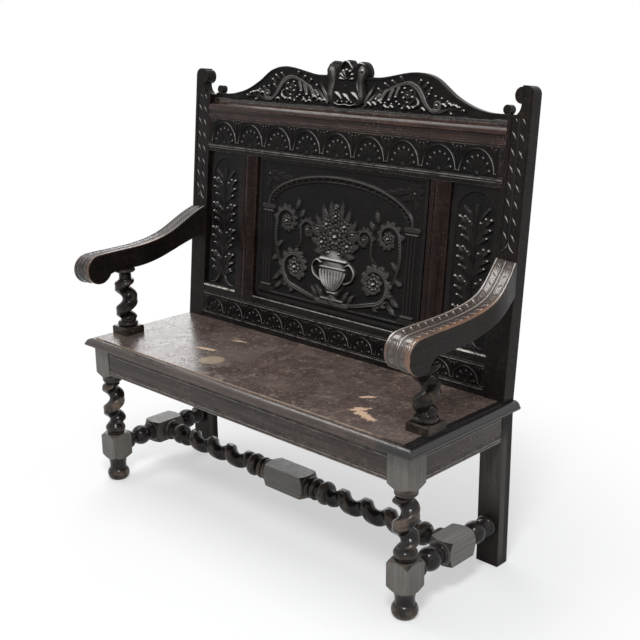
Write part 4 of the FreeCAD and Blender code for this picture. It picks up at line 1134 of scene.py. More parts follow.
def carveBouquet(relief, look, top):
    lift = look["lift"]
    for side in (-1, 1):
        for px, pz in ((0.078, 0.010), (0.092, 0.044), (0.094, 0.078), (0.078, 0.112), (0.052, 0.142),
                       (0.020, 0.158), (0.060, -0.012)):
            pointedLeaf(relief, (side * px * 0.45, top + pz * 0.5 + 0.006), (side * px, top + pz),
                        side * -0.12, 0.0125, lift * 0.72)
    for px, pz, radius, petals in ((0.0, 0.056, 0.034, 8), (-0.048, 0.036, 0.026, 7),
                                   (0.048, 0.036, 0.026, 7), (-0.034, 0.088, 0.024, 7),
                                   (0.034, 0.088, 0.024, 7), (0.0, 0.114, 0.020, 6),
                                   (-0.020, 0.012, 0.019, 6), (0.020, 0.012, 0.019, 6),
                                   (-0.066, 0.072, 0.015, 6), (0.066, 0.072, 0.015, 6)):
        rosette(relief, (px, top + pz), radius, petals, lift * 0.92, px * 9)
    for k in range(7):
        seed = (0.0052 * math.cos(k * 1.05), top + 0.140 + 0.0052 * math.sin(k * 1.05))
        relief.dome(seed, 0.0038, lift * 0.8)


def carveCentrePanel():
    look = centrePanel
    x, z = fieldGrid(look["left"], look["right"], look["low"], look["high"], look["step"])
    edge = np.minimum(np.minimum(x - look["left"], look["right"] - x),
                      np.minimum(z - look["low"], look["high"] - z))
    wall = 1 - np.clip((edge - look["margin"]) / 0.0020 + 0.5, 0, 1)
    lift = look["lift"]
    foot = look["low"] + 0.018
    springing = foot + look["springing"]
    outside = (z > springing) & ((x / look["archReach"]) ** 2 + ((z - springing) / look["archRise"]) ** 2 > 1)
    matting = 0.0007 * np.clip(np.sin((x + z) * 2 * math.pi / 0.0068), 0, 1)
    ground = look["ground"] + toolMarks(x, z, 0.00022, 17) + np.where(outside, matting, 0)
    relief = Relief(x, z, ground)
    carveTemple(relief, look, foot)
    for side in (-1, 1):
        scroll(relief, side, [(0.020, foot + 0.014), (0.080, foot + 0.020), (0.150, foot + 0.037)],
               (0.150, foot + 0.093), 0.056, -90, 1.45, 0.0078, lift * 0.88, 0.48)
        rosette(relief, (side * 0.150, foot + 0.093), 0.027, 8, lift, 0.2)
        scroll(relief, side, [(0.205, foot + 0.085), (0.222, foot + 0.120), (0.234, foot + 0.170),
                              (0.230, foot + 0.222)],
               (0.190, foot + 0.222), 0.040, 0, 1.4, 0.0062, lift * 0.82, 0.46)
        rosette(relief, (side * 0.190, foot + 0.222), 0.018, 7, lift * 0.95, 0.5)
        scroll(relief, side, [(0.150, foot + 0.149), (0.136, foot + 0.158), (0.132, foot + 0.180),
                              (0.134, foot + 0.206)],
               (0.106, foot + 0.208), 0.028, 0, 1.3, 0.0052, lift * 0.76, 0.50)
        rosette(relief, (side * 0.106, foot + 0.208), 0.0125, 6, lift * 0.9, 0.8)
        for root, tip, bend in (((0.060, 0.016), (0.084, 0.050), 0.2), ((0.040, 0.016), (0.066, 0.058), 0.2),
                                ((0.210, 0.070), (0.240, 0.044), -0.2),
                                ((0.200, 0.050), (0.232, 0.020), -0.2),
                                ((0.222, 0.118), (0.246, 0.104), -0.2),
                                ((0.226, 0.136), (0.204, 0.160), -0.2),
                                ((0.140, 0.236), (0.126, 0.262), 0.2), ((0.156, 0.258), (0.146, 0.290), 0.2)):
            pointedLeaf(relief, (side * root[0], foot + root[1]), (side * tip[0], foot + tip[1]), side * bend,
                        0.0100, lift * 0.74)
    carveBouquet(relief, look, foot + 0.144)
    carveUrn(relief, look, foot)
    height = relief.height * (1 - wall) + look["rim"] * wall
    piece = boardMesh("centrePanelCarving", x, z, height, bench["panelFace"], bench["panelFace"] + 0.002)
    return dressPiece(piece, "carvedCentre")


carveCentrePanel()
print("stage: centre panel")


# Crest: leaf scrolls with berries under a plain rim that follows the swept edge

crest = {
    "reach": 0.535, "endFromPost": 0.042, "dip": 0.093, "swell": 0.1023, "peak": 0.111, "brow": 0.10101,
    "slope": 0.06644, "shoulder": 0.040, "tail": 0.02496, "end": 0.024,
    "step": 0.0010, "rows": 96, "rim": 0.0034, "ground": 0.0007, "lift": 0.0070, "rimWidth": 0.0060,
    "inner": 0.064, "lip": 0.0104, "fullness": 1.28,
}

def crestTop(x):
    # Height of the swept edge over the cornice at a distance from the middle
    reach = crest["reach"] - crest["endFromPost"]
    shares = [0.0, 0.22, 0.34, 0.465, 0.59, 0.70, 0.81, 0.94, 1.0]
    rises = [crest[k] for k in ("dip", "dip", "swell", "peak", "brow", "slope", "shoulder", "tail", "end")]
    path = throughPoints([(reach * s, r) for s, r in zip(shares, rises)], 16)
    return np.interp(np.abs(x), path[:, 0], path[:, 1])


def carveCrestHalf(name, side):
    look = crest
    columns = round((look["reach"] - 0.046 - look["inner"]) / look["step"]) + 1
    along = np.linspace(look["inner"], look["reach"] - 0.046, columns)
    low = bench["corniceTop"] + look["lip"]
    high = bench["corniceTop"] + crestTop(along) - 0.0010
    share = np.linspace(0, 1, look["rows"])[:, None]
    x = np.repeat(along[None, :], look["rows"], 0)
    z = low + (high - low)[None, :] * share
    relief = Relief(x, z, look["ground"] + toolMarks(x, z, 0.0002, 23))
    lift = look["lift"]

    def carve(path, width, height, section):
        full = [w * look["fullness"] for w in width] if isinstance(width, list) else width * look["fullness"]
        relief.stroke(path, full, height, section)

    stem = [(0.086, 0.683), (0.104, 0.695), (0.125, 0.713), (0.150, 0.730), (0.180, 0.742), (0.213, 0.748),
            (0.240, 0.738), (0.258, 0.718), (0.270, 0.700), (0.288, 0.685)]
    carve(throughPoints(stem), [0.0034, 0.0038, 0.0034, 0.0040, 0.0074, 0.0070, 0.0040],
          [lift * 0.8, lift, lift * 0.9, lift, lift * 0.95], "gouge")
    # Leaves that rise beside the shield
    carve(bezier([(0.066, 0.694), (0.082, 0.712), (0.099, 0.738)]), [0.0050, 0.0050, 0.0022],
          [lift, lift * 1.1, lift * 0.7], "gouge")
    carve(bezier([(0.070, 0.686), (0.090, 0.700), (0.112, 0.724)]), [0.0044, 0.0044, 0.0022],
          [lift, lift, lift * 0.7], "gouge")
    # Curled leaflets along the foot, from the shield to the tail
    for px, pz, reach in ((0.080, 0.6885, 0.0105), (0.097, 0.6900, 0.0110), (0.116, 0.6960, 0.0105),
                          (0.136, 0.6850, 0.0085), (0.158, 0.6860, 0.0085), (0.214, 0.6865, 0.0085),
                          (0.262, 0.6850, 0.0090), (0.327, 0.6985, 0.0100), (0.346, 0.7010, 0.0095),
                          (0.366, 0.6980, 0.0080)):
        carve(bezier([(px - reach * 0.8, pz - reach * 0.55), (px - reach * 0.2, pz + reach * 0.95),
                      (px + reach * 0.85, pz - reach * 0.15)]), [0.0016, 0.0040, 0.0030],
              [lift * 0.6, lift * 1.1, lift * 1.15], "round")
    # Leaves that hang under the stem, their tips curled to the middle
    for root, bow, tip, width in (((0.128, 0.715), (0.116, 0.718), (0.105, 0.703), 0.0052),
                                  ((0.152, 0.732), (0.134, 0.727), (0.124, 0.702), 0.0060),
                                  ((0.172, 0.740), (0.158, 0.732), (0.150, 0.703), 0.0062),
                                  ((0.190, 0.744), (0.178, 0.738), (0.172, 0.712), 0.0052)):
        carve(bezier([root, bow, tip]), [width * 0.35, width, width * 0.85], [lift * 0.4, lift, lift * 1.05],
              "gouge")
        relief.dome(tip, width * 0.72, lift * 1.22)
    carve(spiral((0.210, 0.716), 0.0285, 0.0115, 75, -0.95), [0.0038, 0.0030], [lift * 0.8, lift * 0.7],
          "gouge")
    rosette(relief, (0.212, 0.719), 0.0125, 6, lift, 0.4)
    for px, pz, radius in ((0.201, 0.735, 0.0046), (0.194, 0.724, 0.0042), (0.199, 0.711, 0.0046),
                           (0.227, 0.714, 0.0054), (0.176, 0.700, 0.0044), (0.160, 0.694, 0.0036),
                           (0.186, 0.694, 0.0046), (0.233, 0.688, 0.0050), (0.138, 0.695, 0.0038),
                           (0.223, 0.730, 0.0040), (0.212, 0.700, 0.0040)):
        relief.dome((px, pz), radius, lift * 1.15)
    carve(bezier([(0.240, 0.712), (0.256, 0.700), (0.246, 0.688), (0.226, 0.690)]),
          [0.0026, 0.0048, 0.0030], [lift * 0.8, lift * 1.1, lift * 0.8], "round")
    for root, tip, bend in (((0.232, 0.742), (0.252, 0.757), -0.1), ((0.248, 0.735), (0.274, 0.751), -0.12),
                            ((0.258, 0.722), (0.287, 0.739), -0.15), ((0.264, 0.711), (0.280, 0.724), -0.15),
                            ((0.172, 0.744), (0.158, 0.752), 0.1), ((0.196, 0.750), (0.184, 0.764), 0.1),
                            ((0.150, 0.735), (0.134, 0.744), 0.1), ((0.126, 0.718), (0.112, 0.730), 0.1),
                            ((0.200, 0.700), (0.196, 0.684), 0.2), ((0.166, 0.690), (0.150, 0.684), 0.2)):
        leafLobe(relief, root, tip, bend, 0.0060, lift * 0.9)
    carve(spiral((0.307, 0.698), 0.0150, 0.0050, 230, 1.25), [0.0042, 0.0030], [lift, lift * 0.9], "gouge")
    relief.dome((0.307, 0.698), 0.0048, lift * 1.2)
    carve(throughPoints([(0.288, 0.685), (0.302, 0.681), (0.322, 0.684), (0.346, 0.691), (0.372, 0.690),
                         (0.398, 0.682)]), [0.0044, 0.0042, 0.0032, 0.0016], [lift, lift * 0.6], "gouge")
    for root, tip, bend in (((0.300, 0.706), (0.302, 0.720), 0.0), ((0.316, 0.703), (0.322, 0.716), 0.0),
                            ((0.326, 0.692), (0.340, 0.709), 0.2), ((0.342, 0.692), (0.359, 0.702), 0.2),
                            ((0.358, 0.691), (0.378, 0.697), 0.2), ((0.345, 0.689), (0.354, 0.680), -0.2),
                            ((0.372, 0.689), (0.392, 0.690), 0.1)):
        leafLobe(relief, root, tip, bend, 0.0056, lift * 0.9)
    edge = high[None, :] - z
    rimmed = np.clip((look["rimWidth"] - edge) / 0.0016 + 0.5, 0, 1)
    rimmed = np.maximum(rimmed, np.clip((x - 0.405) / 0.02, 0, 1) * 0.9)
    height = relief.height * (1 - rimmed) + look["rim"] * rimmed
    height *= 1 - 0.93 * np.clip((x - 0.440) / 0.046, 0, 1)
    if side < 0:
        x, height, z = -x[:, ::-1], height[:, ::-1], z[:, ::-1]
    piece = boardMesh(name, x, z, height, bench["crestFace"], bench["crestFace"] + 0.002)
    return dressPiece(piece, "carvedCrest")


carveCrestHalf("leftCrestCarving", -1)
carveCrestHalf("rightCrestCarving", 1)
print("stage: crest")


# Shield on the crest: two bellied bands with a shell, ears and a hood, carved in the round

cartouche = {"centre": 0.735, "lift": 0.0118, "rings": 60, "spokes": 300, "back": 0.0415, "hollow": 0.0055}

def cartoucheOutline():
    half = [(0.0, 0.677), (0.035, 0.6775), (0.060, 0.686), (0.073, 0.704), (0.069, 0.728), (0.064, 0.744),
            (0.071, 0.752), (0.077, 0.765), (0.075, 0.778), (0.066, 0.791), (0.054, 0.797), (0.042, 0.797),
            (0.031, 0.792), (0.024, 0.786), (0.017, 0.790), (0.012, 0.797), (0.005, 0.8005), (0.0, 0.801)]
    right = throughPoints(half, 6)
    left = right[::-1][1:-1] * np.array([-1, 1])
    return np.concatenate([right, left])


def cartoucheHeight(relief, lift):
    # Two bellied bands that roll over into the ears, a shell and three leaves between them
    for side in (-1, 1):
        band = throughPoints([(side * 0.040, 0.684), (side * 0.054, 0.700), (side * 0.053, 0.724),
                              (side * 0.050, 0.748), (side * 0.054, 0.770)])
        relief.stroke(band, [0.0150, 0.0190, 0.0180, 0.0200, 0.0230],
                      [lift * 0.70, lift * 0.92, lift * 0.86, lift], "round")
        fillet = band[:len(band) * 3 // 4] + np.array([side * 0.0125, 0.002])
        relief.stroke(fillet, 0.0022, lift * 0.78, "ridge")
        relief.stroke(throughPoints([(side * 0.040, 0.762), (side * 0.041, 0.744), (side * 0.046, 0.722),
                                     (side * 0.052, 0.704)]),
                      [0.0016, 0.0026, 0.0022], [lift * 0.9, lift * 1.16, lift], "ridge")
        if side > 0:
            # The right ear rolls up round an eye
            relief.dome((0.055, 0.776), 0.0190, lift * 0.98)
            relief.stroke(arc((0.055, 0.776), 0.0165, 0.0165, 20, 175, 20), [0.0020, 0.0052, 0.0020],
                          [lift * 0.95, lift * 1.26, lift * 0.95], "round")
            relief.dome((0.0575, 0.7735), 0.0062, lift * 1.36)
        else:
            # The left ear is a ribbed leaf
            for px, pz in ((-0.0705, 0.7600), (-0.0715, 0.7740), (-0.0640, 0.7865), (-0.0520, 0.7935),
                           (-0.0390, 0.7930)):
                relief.stroke(bezier([(-0.040, 0.752), (px * 0.72, pz - 0.004), (px, pz)]),
                              [0.0030, 0.0068, 0.0028], [lift * 0.8, lift * 1.10, lift * 0.95], "gouge")
        relief.stroke(bezier([(side * 0.020, 0.786), (side * 0.026, 0.776), (side * 0.027, 0.762)]),
                      [0.0060, 0.0040], [lift * 0.9, lift * 0.6], "round")
    for k in range(7):
        angle = math.radians(-12 + 204 * k / 6)
        tip = (0.002 + 0.0215 * math.cos(angle), 0.7550 + 0.0190 * math.sin(angle))
        relief.stroke([(0.002 + 0.004 * math.cos(angle), 0.750 + 0.004 * math.sin(angle)), tip],
                      [0.0022, 0.0066], [lift * 0.75, lift * 1.24], "round")
        relief.dome(tip, 0.0052, lift * 1.36)
    relief.dome((0.0, 0.7515), 0.0046, lift * 0.92)
    relief.stroke([(-0.0045, 0.733), (0.0045, 0.733)], 0.0026, lift * 0.86, "round")
    for px, pz in ((-0.026, 0.7060), (0.004, 0.7020), (0.034, 0.7070)):
        relief.stroke(bezier([(px - 0.016, pz + 0.009), (px + 0.001, pz + 0.006), (px + 0.013, pz - 0.008)]),
                      [0.0046, 0.0082, 0.0046], [lift * 0.8, lift * 1.36, lift * 1.0], "round")
    for px in (-0.026, -0.010, 0.008, 0.024):
        relief.dome((px, 0.6905), 0.0052, lift * 1.05)
    brim = [(-0.038, 0.686), (-0.020, 0.6815), (0.0, 0.6835), (0.020, 0.6815), (0.038, 0.686)]
    relief.stroke(throughPoints(brim), 0.0036, lift * 1.0, "round")
    # Hood over the shell: a leaf that rises to a point between the ears
    for side in (-1, 1):
        relief.stroke(bezier([(side * 0.0215, 0.774), (side * 0.0190, 0.790), (0.0, 0.7990)]),
                      [0.0032, 0.0046, 0.0042], [lift * 0.95, lift * 1.22, lift * 1.36], "round")
    relief.stroke([(0.0, 0.782), (0.0, 0.799)], [0.0024, 0.0042], [lift * 0.8, lift * 1.34], "ridge")


def carveCartouche():
    look = cartouche
    outline = cartoucheOutline()
    angles = np.unwrap(np.arctan2(outline[:, 1] - look["centre"], outline[:, 0]))
    reach = np.hypot(outline[:, 0], outline[:, 1] - look["centre"])
    order = np.argsort(angles)
    n, rings = look["spokes"], look["rings"]
    spokes = np.linspace(-math.pi / 2, 1.5 * math.pi, n, endpoint=False)
    far = np.interp(spokes, angles[order], reach[order], period=2 * math.pi)
    share = (np.arange(rings + 1) / rings)[:, None]
    x = share * far[None, :] * np.cos(spokes)[None, :]
    z = look["centre"] + share * far[None, :] * np.sin(spokes)[None, :]
    lift = look["lift"]
    hollow = 0.0058 + 0.0010 * np.clip(np.abs(x) / 0.036, 0, 1) ** 2
    relief = Relief(x, z, hollow * np.sqrt(np.clip(1 - share ** 8, 0, 1)))
    cartoucheHeight(relief, lift)
    height = relief.height * np.clip((1 - share) / 0.05, 0, 1) ** 0.35
    height[-1, :] = -0.0002
    front = np.stack([x, bench["crestFace"] - height, z], 2)
    vertices = [(0.0, bench["crestFace"] - float(height[0].mean()), look["centre"])]
    vertices += [tuple(v) for v in front[1:].reshape(-1, 3)]
    backStart = len(vertices)
    vertices += [(v[0], look["back"], v[2]) for v in front[-1]]
    following = [(k + 1) % n for k in range(n)]
    faces = [(0, 1 + k, 1 + following[k]) for k in range(n)]
    for ring in range(1, rings):
        base = 1 + (ring - 1) * n
        faces += [(base + k, base + n + k, base + n + following[k], base + following[k]) for k in range(n)]
    base = 1 + (rings - 1) * n
    faces += [(base + k, backStart + k, backStart + following[k], base + following[k]) for k in range(n)]
    faces.append(tuple(backStart + k for k in range(n))[::-1])
    mesh = bpy.data.meshes.new("crestShield")
    mesh.from_pydata(vertices, [], faces)
    mesh.update()
    tone = np.clip((height[1:].reshape(-1) - look["hollow"]) / (lift * 1.15 - look["hollow"]), 0, 1)
    pointValues(mesh, "relief", np.concatenate([[0.4], tone]))
    mesh.polygons.foreach_set("use_smooth", [True] * (len(faces) - 1) + [False])
    mesh.transform(leanMatrix)
    piece = dressPiece(addObject("crestShield", mesh), "carvedCrest")
    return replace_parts(piece, "crest_cartouche")


carveCartouche()
print("stage: shield")


# Post fronts: two columns of slanting nicks in the sunk strip over the arms

postStrip = {"middle": 0.5675, "half": 0.0218, "low": 0.346, "high": 0.6815, "step": 0.0010, "sunk": 0.002,
             "pitch": 0.0395, "first": 0.404, "lift": 0.0026, "foot": 0.367, "point": 0.022}

def carvePostStrip(name, side):
    look = postStrip
    x, z = fieldGrid(-look["half"], look["half"], look["low"], look["high"], look["step"])
    relief = Relief(x, z, 0.0005 + toolMarks(x, z, 0.0001, 31))
    lift = look["lift"]
    count = int((look["high"] - look["first"]) / look["pitch"]) + 1
    for k in range(count):
        middle = look["first"] + k * look["pitch"]
        for column in (-1, 1):
            def put(px, pz):
                return (px + column * 0.0112, middle + pz - (0.004 if column > 0 else 0.0))
            relief.stroke(bezier([put(-0.0062, 0.0112), put(-0.0002, 0.0040), put(0.0058, -0.0070)]),
                          [0.0012, 0.0029, 0.0013], [lift * 0.5, lift, lift * 0.6], "round")
            relief.stroke(bezier([put(0.0040, -0.0120), put(-0.0010, -0.0150), put(-0.0044, -0.0220)]),
                          [0.0009, 0.0016, 0.0009], [lift * 0.3, lift * 0.45, lift * 0.3], "round")
    relief.stroke([(0, 0.386), (0, look["high"])], 0.0014, lift * 0.55, "ridge")
    for column in (-1, 1):
        relief.stroke(bezier([(column * 0.001, 0.389), (column * 0.004, 0.374), (column * 0.017, 0.368)]),
                      [0.0014, 0.0032, 0.0018], [lift * 0.6, lift * 1.05, lift * 0.7], "round")
    half = look["half"]
    # The strip ends in a point at its foot
    below = np.abs(x) - (z - (look["foot"] - look["point"])) * half / look["point"]
    mask = np.clip(-below / 0.001, 0, 1)
    height = relief.height * mask - 0.0012 * (1 - mask)
    piece = boardMesh(name, x + side * look["middle"], z, height, look["sunk"], look["sunk"] + 0.002)
    return dressPiece(piece, "carvedPanel")


carvePostStrip("leftPostCarving", -1)
carvePostStrip("rightPostCarving", 1)
print("stage: posts")


# Arms: the top of each carries a low leaf pattern, on a skin that is laid on the arm by rays

armTop = {
    "columns": 120, "rollRows": 110, "sweepRows": 236, "probes": 240, "leastHits": 20,
    "lift": 0.0019, "skin": 0.0005, "depth": 0.0015, "inset": 0.0012, "postGap": 0.0015, "wornEdge": 0.0150,
    "rollHigh": 0.667, "rollLow": 0.662, "rollY": -0.2165, "rollRadius": 0.041,
    "rollFrom": -115, "rollTo": 88, "outside": 0.03, "reach": 0.30,
}

def armPattern(relief, look, width, total):
    # Long leaf outlines on the roll and next to the post, a scaled band with nibs between them
    lift, half = look["lift"], width / 2
    rearStart, rollStart, rollEnd = total - 0.150, 0.058, 0.146
    for border in (-1, 1):
        rail = border * (half - 0.0030)
        relief.stroke([(rail, 0), (rail, total)], 0.0030, lift, "flat")
        quarter = border * half * 0.47
        reach = half * 0.36
        relief.stroke([(quarter, rollStart + 0.016), (quarter, rollEnd - 0.014)], reach, lift * 0.55, "flat")
        for tilt in (-1, 1):
            relief.stroke(bezier([(quarter + tilt * 0.010, rollStart + 0.020),
                                  (quarter + tilt * 0.004, rollStart + 0.045),
                                  (quarter + tilt * 0.009, rollEnd - 0.016)]), [0.0009, 0.0024, 0.0009],
                          lift * 0.85, "round", sink=True)
        rollLeaf = arc((quarter, (rollStart + rollEnd) / 2), reach, (rollEnd - rollStart) / 2, 0, 360, 40)
        relief.stroke(rollLeaf, 0.0015, lift * 0.7, "round", sink=True)
        relief.stroke([(quarter, rearStart + 0.020), (quarter, total - 0.022)],
                      [reach * 0.5, reach, reach, reach], lift * 0.55, "flat")
        tip = (quarter - border * reach * 0.10, rearStart - 0.010)
        rearLeaf = throughPoints([
            tip, (quarter + reach * 0.75, rearStart + 0.026), (quarter + reach, rearStart + 0.070),
            (quarter + reach * 0.92, total - 0.022), (quarter, total - 0.010),
            (quarter - reach * 0.92, total - 0.022), (quarter - reach, rearStart + 0.070),
            (quarter - reach * 0.75, rearStart + 0.026), tip])
        relief.stroke(rearLeaf, 0.0014, lift * 0.7, "round", sink=True)
        for k in range(4):
            at = rearStart + 0.034 + k * 0.030
            relief.stroke([(quarter - 0.0040 * border, at - 0.003), (quarter + 0.0050 * border, at + 0.004)],
                          [0.0010, 0.0018, 0.0010], lift * 0.85, "round", sink=True)
            relief.stroke(bezier([(quarter - 0.006 * border, at + 0.010), (quarter, at + 0.014),
                                  (quarter + 0.007 * border, at + 0.010)]), 0.0012, lift * 0.75, "ridge")
        for k in range(2):
            at = rollStart + 0.026 + k * 0.034
            relief.stroke(bezier([(quarter - 0.008, at + 0.004), (quarter, at - 0.005),
                                  (quarter + 0.008, at + 0.004)]),
                          [0.0014, 0.0036, 0.0014], lift * 0.85, "round", sink=True)
        relief.stroke(bezier([(border * 0.002, rollStart - 0.004), (border * half * 0.5, rollStart - 0.022),
                              (border * (half - 0.006), rollStart - 0.006)]), 0.0028, lift * 0.9, "round")
        count = round((rearStart - rollEnd) / 0.0245)
        for k in range(count):
            at = rollEnd + 0.012 + k * 0.0245
            relief.dome((border * half * 0.66, at), 0.0030, lift * 1.35)
            relief.stroke(bezier([(border * 0.003, at - 0.010), (border * half * 0.42, at - 0.006),
                                  (border * half * 0.64, at)]), [0.0012, 0.0030, 0.0024],
                          [lift * 0.4, lift * 0.9, lift], "gouge")
            relief.stroke(bezier([(border * 0.003, at + 0.002), (border * half * 0.30, at + 0.005),
                                  (border * half * 0.44, at + 0.012)]), [0.0010, 0.0020],
                          [lift * 0.3, lift * 0.7], "round")
    relief.stroke([(0, 0.030), (0, total - 0.004)], 0.0024, lift * 1.0, "round")


def armRows(tree, low, high, look, rollZ):
    # Rows of points and normals on the arm: round the roll first, then down on the sweep up to the post
    starts = []
    for angle in np.linspace(look["rollFrom"], look["rollTo"], look["rollRows"]):
        turn = math.radians(angle)
        away = Vector((0, -math.cos(turn), math.sin(turn)))
        start = Vector((0, look["rollY"], rollZ)) + away * (look["rollRadius"] + look["outside"])
        starts.append((start, -away))
    for y in np.linspace(look["rollY"] + 0.002, high.y - look["postGap"], look["sweepRows"]):
        starts.append((Vector((0, y, high.z + look["outside"])), Vector((0, 0, -1))))
    rows = []
    for start, direction in starts:
        hits = [x for x in np.linspace(low.x, high.x, look["probes"])
                if tree.ray_cast(Vector((x, start.y, start.z)), direction, look["reach"])[0] is not None]
        if len(hits) < look["leastHits"]:
            continue
        row = []
        for x in np.linspace(hits[0] + look["inset"], hits[-1] - look["inset"], look["columns"]):
            found = tree.ray_cast(Vector((x, start.y, start.z)), direction, look["reach"])
            if found[0] is not None:
                row.append((tuple(found[0]), tuple(found[1])))
        if len(row) == look["columns"]:
            rows.append(row)
    return np.array(rows)


def armSkin(name, node, side, finish):
    look = armTop
    source = nodes[node].data
    tree = BVHTree.FromPolygons([v.co.copy() for v in source.vertices],
                                [tuple(p.vertices) for p in source.polygons])
    rows = armRows(tree, *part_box(node), look, look["rollHigh"] if side > 0 else look["rollLow"])
    points, normals = rows[:, :, 0], rows[:, :, 1]
    run = np.concatenate([[0], np.cumsum(np.linalg.norm(np.diff(points.mean(1), axis=0), axis=1))])
    width = np.linalg.norm(points[:, -1] - points[:, 0], axis=1).mean()
    x, z = np.meshgrid(np.linspace(-width / 2, width / 2, look["columns"]), run)
    relief = Relief(x, z, look["skin"])
    armPattern(relief, look, width, run[-1])
    border = np.minimum(np.minimum(x + width / 2, width / 2 - x), np.minimum(z, run[-1] - z))
    height = np.maximum(relief.height, 0.0002) * np.clip(border / 0.002 + 0.15, 0, 1)
    front = points + normals * height[:, :, None]
    # The relief is held to the solids' box at the front of the roll
    front[:, :, 1] = np.maximum(front[:, :, 1], cadLow[1])
    index, rim, skirt, faces = sheetFaces(*x.shape)
    rear = (points - normals * look["depth"]).reshape(-1, 3)
    # The underside is closed by a strip from edge to edge between each two rows
    under = dict(zip(rim.tolist(), skirt.tolist()))
    last = len(index) - 2
    for row in range(last + 1):
        near = index[row] if row == 0 else index[row, [0, -1]]
        far = index[row + 1] if row == last else index[row + 1, [0, -1]]
        faces.append(tuple(under[int(v)] for v in far) + tuple(under[int(v)] for v in near[::-1]))
    mesh = bpy.data.meshes.new(name)
    mesh.from_pydata([tuple(v) for v in np.concatenate([front.reshape(-1, 3), rear[rim]])], [], faces)
    mesh.update()
    pointValues(mesh, "relief", np.clip((height.reshape(-1) - 0.0003) / (look["lift"] * 0.95), 0, 1))
    # Hands have worn the outer edge most, and the other a little
    edge = look["wornEdge"]
    handled = np.clip((z - 0.02) / 0.06, 0, 1) * np.clip((run[-1] - 0.10 - z) / 0.08, 0, 1)
    outer = np.clip((x - (width / 2 - edge)) / 0.004, 0, 1)
    inner = np.clip((-x - (width / 2 - edge * 0.5)) / 0.003, 0, 1)
    pointValues(mesh, "wornEdge", (handled * (outer + 0.3 * inner)).reshape(-1))
    mesh.polygons.foreach_set("use_smooth", [True] * len(mesh.polygons))
    return dressPiece(addObject(name, mesh), finish)


# On the arm tops the rubbed colour is a painted highlight where the top near the post faces up to the light
rightArmLook = dict(
    ebonised, carved=True, dark=(0.022, 0.014, 0.011), light=(0.062, 0.040, 0.031),
    patch=(0.085, 0.046, 0.030), patchy=0.45, paintedHighlight=(0.44, 0.41, 0.385), paintedHighlightFrom=0.28, paintedHighlightFacing=0.78,
    towards=(0.1, -0.5, 0.86), paintedHighlightGain=0.9, paintedShade=(0.006, 0.004, 0.0035), wear=0.0, roughness=0.17,
    dust=0.05, coat=0.4, coatRoughness=0.12, specular=0.5, edge=(0.250, 0.105, 0.044))
leftArmLook = dict(
    rightArmLook, dark=(0.008, 0.0065, 0.006), light=(0.030, 0.022, 0.019), patch=(0.050, 0.028, 0.022),
    paintedHighlight=(0.30, 0.28, 0.265), edge=(0.19, 0.105, 0.060), specular=0.30, coat=0.18, paintedHighlightGain=0.65)
finishes["rightArmTop"] = oakFinish("rightArmTopOak", "Y", rightArmLook)
finishes["leftArmTop"] = oakFinish("leftArmTopOak", "Y", leftArmLook)
armSkin("leftArmCarving", "arm_left", -1, "leftArmTop")
armSkin("rightArmCarving", "arm_right", 1, "rightArmTop")
print("stage: arms")


# Floor, light and camera

def seenByCamera(tree):
    # 1 for rays from the camera, straight or by way of a gloss or of glass
    path = tree.nodes.new("ShaderNodeLightPath").outputs
    return larger(tree, path["Is Camera Ray"], larger(tree, path["Is Glossy Ray"],
                                                      path["Is Transmission Ray"]))


def glowNode(tree, kind, colour, strength):
    node = tree.nodes.new(kind)
    node.inputs["Color"].default_value = colour
    node.inputs["Strength"].default_value = strength
    return node.outputs[0]


def joinShaders(tree, share, first, second, output):
    mix = tree.nodes.new("ShaderNodeMixShader")
    for index, socket in enumerate((share, first, second)):
        tree.links.new(socket, mix.inputs[index])
    tree.links.new(mix.outputs[0], tree.nodes[output].inputs["Surface"])


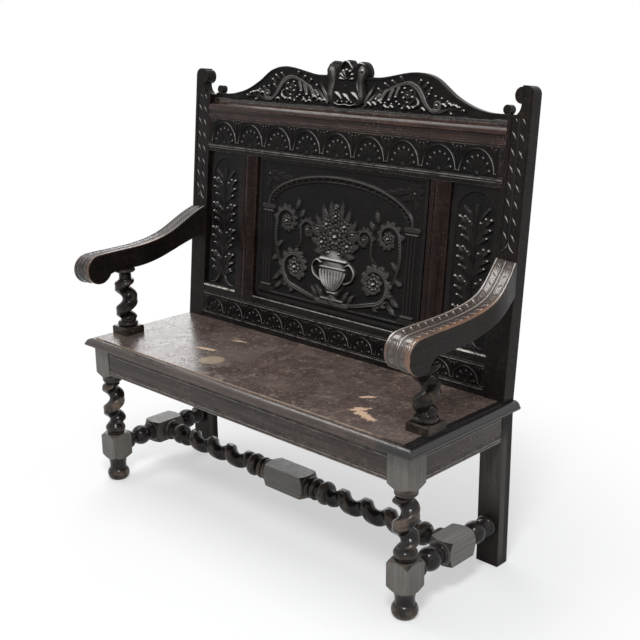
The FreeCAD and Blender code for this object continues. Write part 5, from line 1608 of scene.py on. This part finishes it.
def setStage():
    look = {"floorSize": 14.0, "floorLevel": -0.0005, "floor": 0.92, "floorRoughness": 0.9,
            "floorSpecular": 0.1, "paleFloor": 0.45, "farFrom": 0.60, "farTo": 1.25,
            "world": 0.42, "worldColour": (0.96, 0.98, 1.0, 1)}
    mesh = bpy.data.meshes.new("paleFloor")
    s, level = look["floorSize"] / 2, look["floorLevel"]
    mesh.from_pydata([(-s, -s, level), (s, -s, level), (s, s, level), (-s, s, level)], [], [(0, 1, 2, 3)])
    floor = addObject("paleFloor", mesh)
    material, tree, shader, coordinates = newMaterial("paleFloor")
    shader.inputs["Base Color"].default_value = (look["floor"],) * 3 + (1,)
    shader.inputs["Roughness"].default_value = look["floorRoughness"]
    shader.inputs["Specular IOR Level"].default_value = look["floorSpecular"]
    glow = glowNode(tree, "ShaderNodeEmission", (1, 1, 1, 1), 1.0)
    far = ramp(tree, vectorMaths(tree, "LENGTH", coordinates)["Value"], look["farFrom"], look["farTo"])
    lit = plus(tree, look["paleFloor"], times(tree, far, 1.0 - look["paleFloor"]))
    joinShaders(tree, times(tree, lit, seenByCamera(tree)), shader.outputs[0], glow, "Material Output")
    mesh.materials.append(material)

    world = bpy.data.worlds.new("studio")
    bpy.context.scene.world = world
    world.use_nodes = True
    tree = world.node_tree
    plain = tree.nodes["Background"]
    plain.inputs["Color"].default_value = look["worldColour"]
    plain.inputs["Strength"].default_value = look["world"]
    white = glowNode(tree, "ShaderNodeBackground", (1, 1, 1, 1), 1.0)
    joinShaders(tree, seenByCamera(tree), plain.outputs[0], white, "World Output")


def addSoftbox(name, towards, distance, size, power, colour):
    lamp = bpy.data.lights.new(name, "AREA")
    lamp.shape = "SQUARE"
    lamp.size = size
    lamp.energy = power
    lamp.color = colour
    holder = addObject(name, lamp)
    direction = Vector(towards).normalized()
    target = Vector((0, 0, 0.6))
    holder.location = target + direction * distance
    holder.visible_camera = False
    holder.rotation_mode = "QUATERNION"
    holder.rotation_quaternion = direction.to_track_quat("Z", "Y")


def setCamera():
    look = {"place": (1.976545, -1.925764, 1.395920), "yaw": 44.056, "pitch": 16.624, "roll": -0.622,
            "focal": 1067.782, "pixels": 640, "sensor": 36.0}
    yaw, pitch, roll = (math.radians(look[k]) for k in ("yaw", "pitch", "roll"))
    forward = Vector((-math.sin(yaw) * math.cos(pitch), math.cos(yaw) * math.cos(pitch), -math.sin(pitch)))
    right = Vector((math.cos(yaw), math.sin(yaw), 0))
    up = right.cross(forward)
    right, up = right * math.cos(roll) + up * math.sin(roll), up * math.cos(roll) - right * math.sin(roll)
    data = bpy.data.cameras.new("photoView")
    data.sensor_width = look["sensor"]
    data.lens = look["focal"] / look["pixels"] * look["sensor"]
    data.clip_start = 0.05
    data.clip_end = 60.0
    camera = addObject("photoView", data)
    turn = Matrix((right, up, -forward)).transposed().to_4x4()
    camera.matrix_world = Matrix.Translation(look["place"]) @ turn
    bpy.context.scene.camera = camera


setStage()
addSoftbox("highSoftbox", (-0.50, -0.03, 0.87), 3.2, 1.7, 50, (1.0, 0.985, 0.96))
addSoftbox("keyLamp", (0.45, -0.50, 0.72), 3.2, 0.75, 62, (0.97, 0.985, 1.0))
addSoftbox("seatGlare", (-0.755, 0.59, 0.29), 3.6, 1.6, 19, (1.0, 1.0, 1.0))
setCamera()
bpy.context.scene.view_settings.view_transform = "Standard"
print("stage: light and camera")
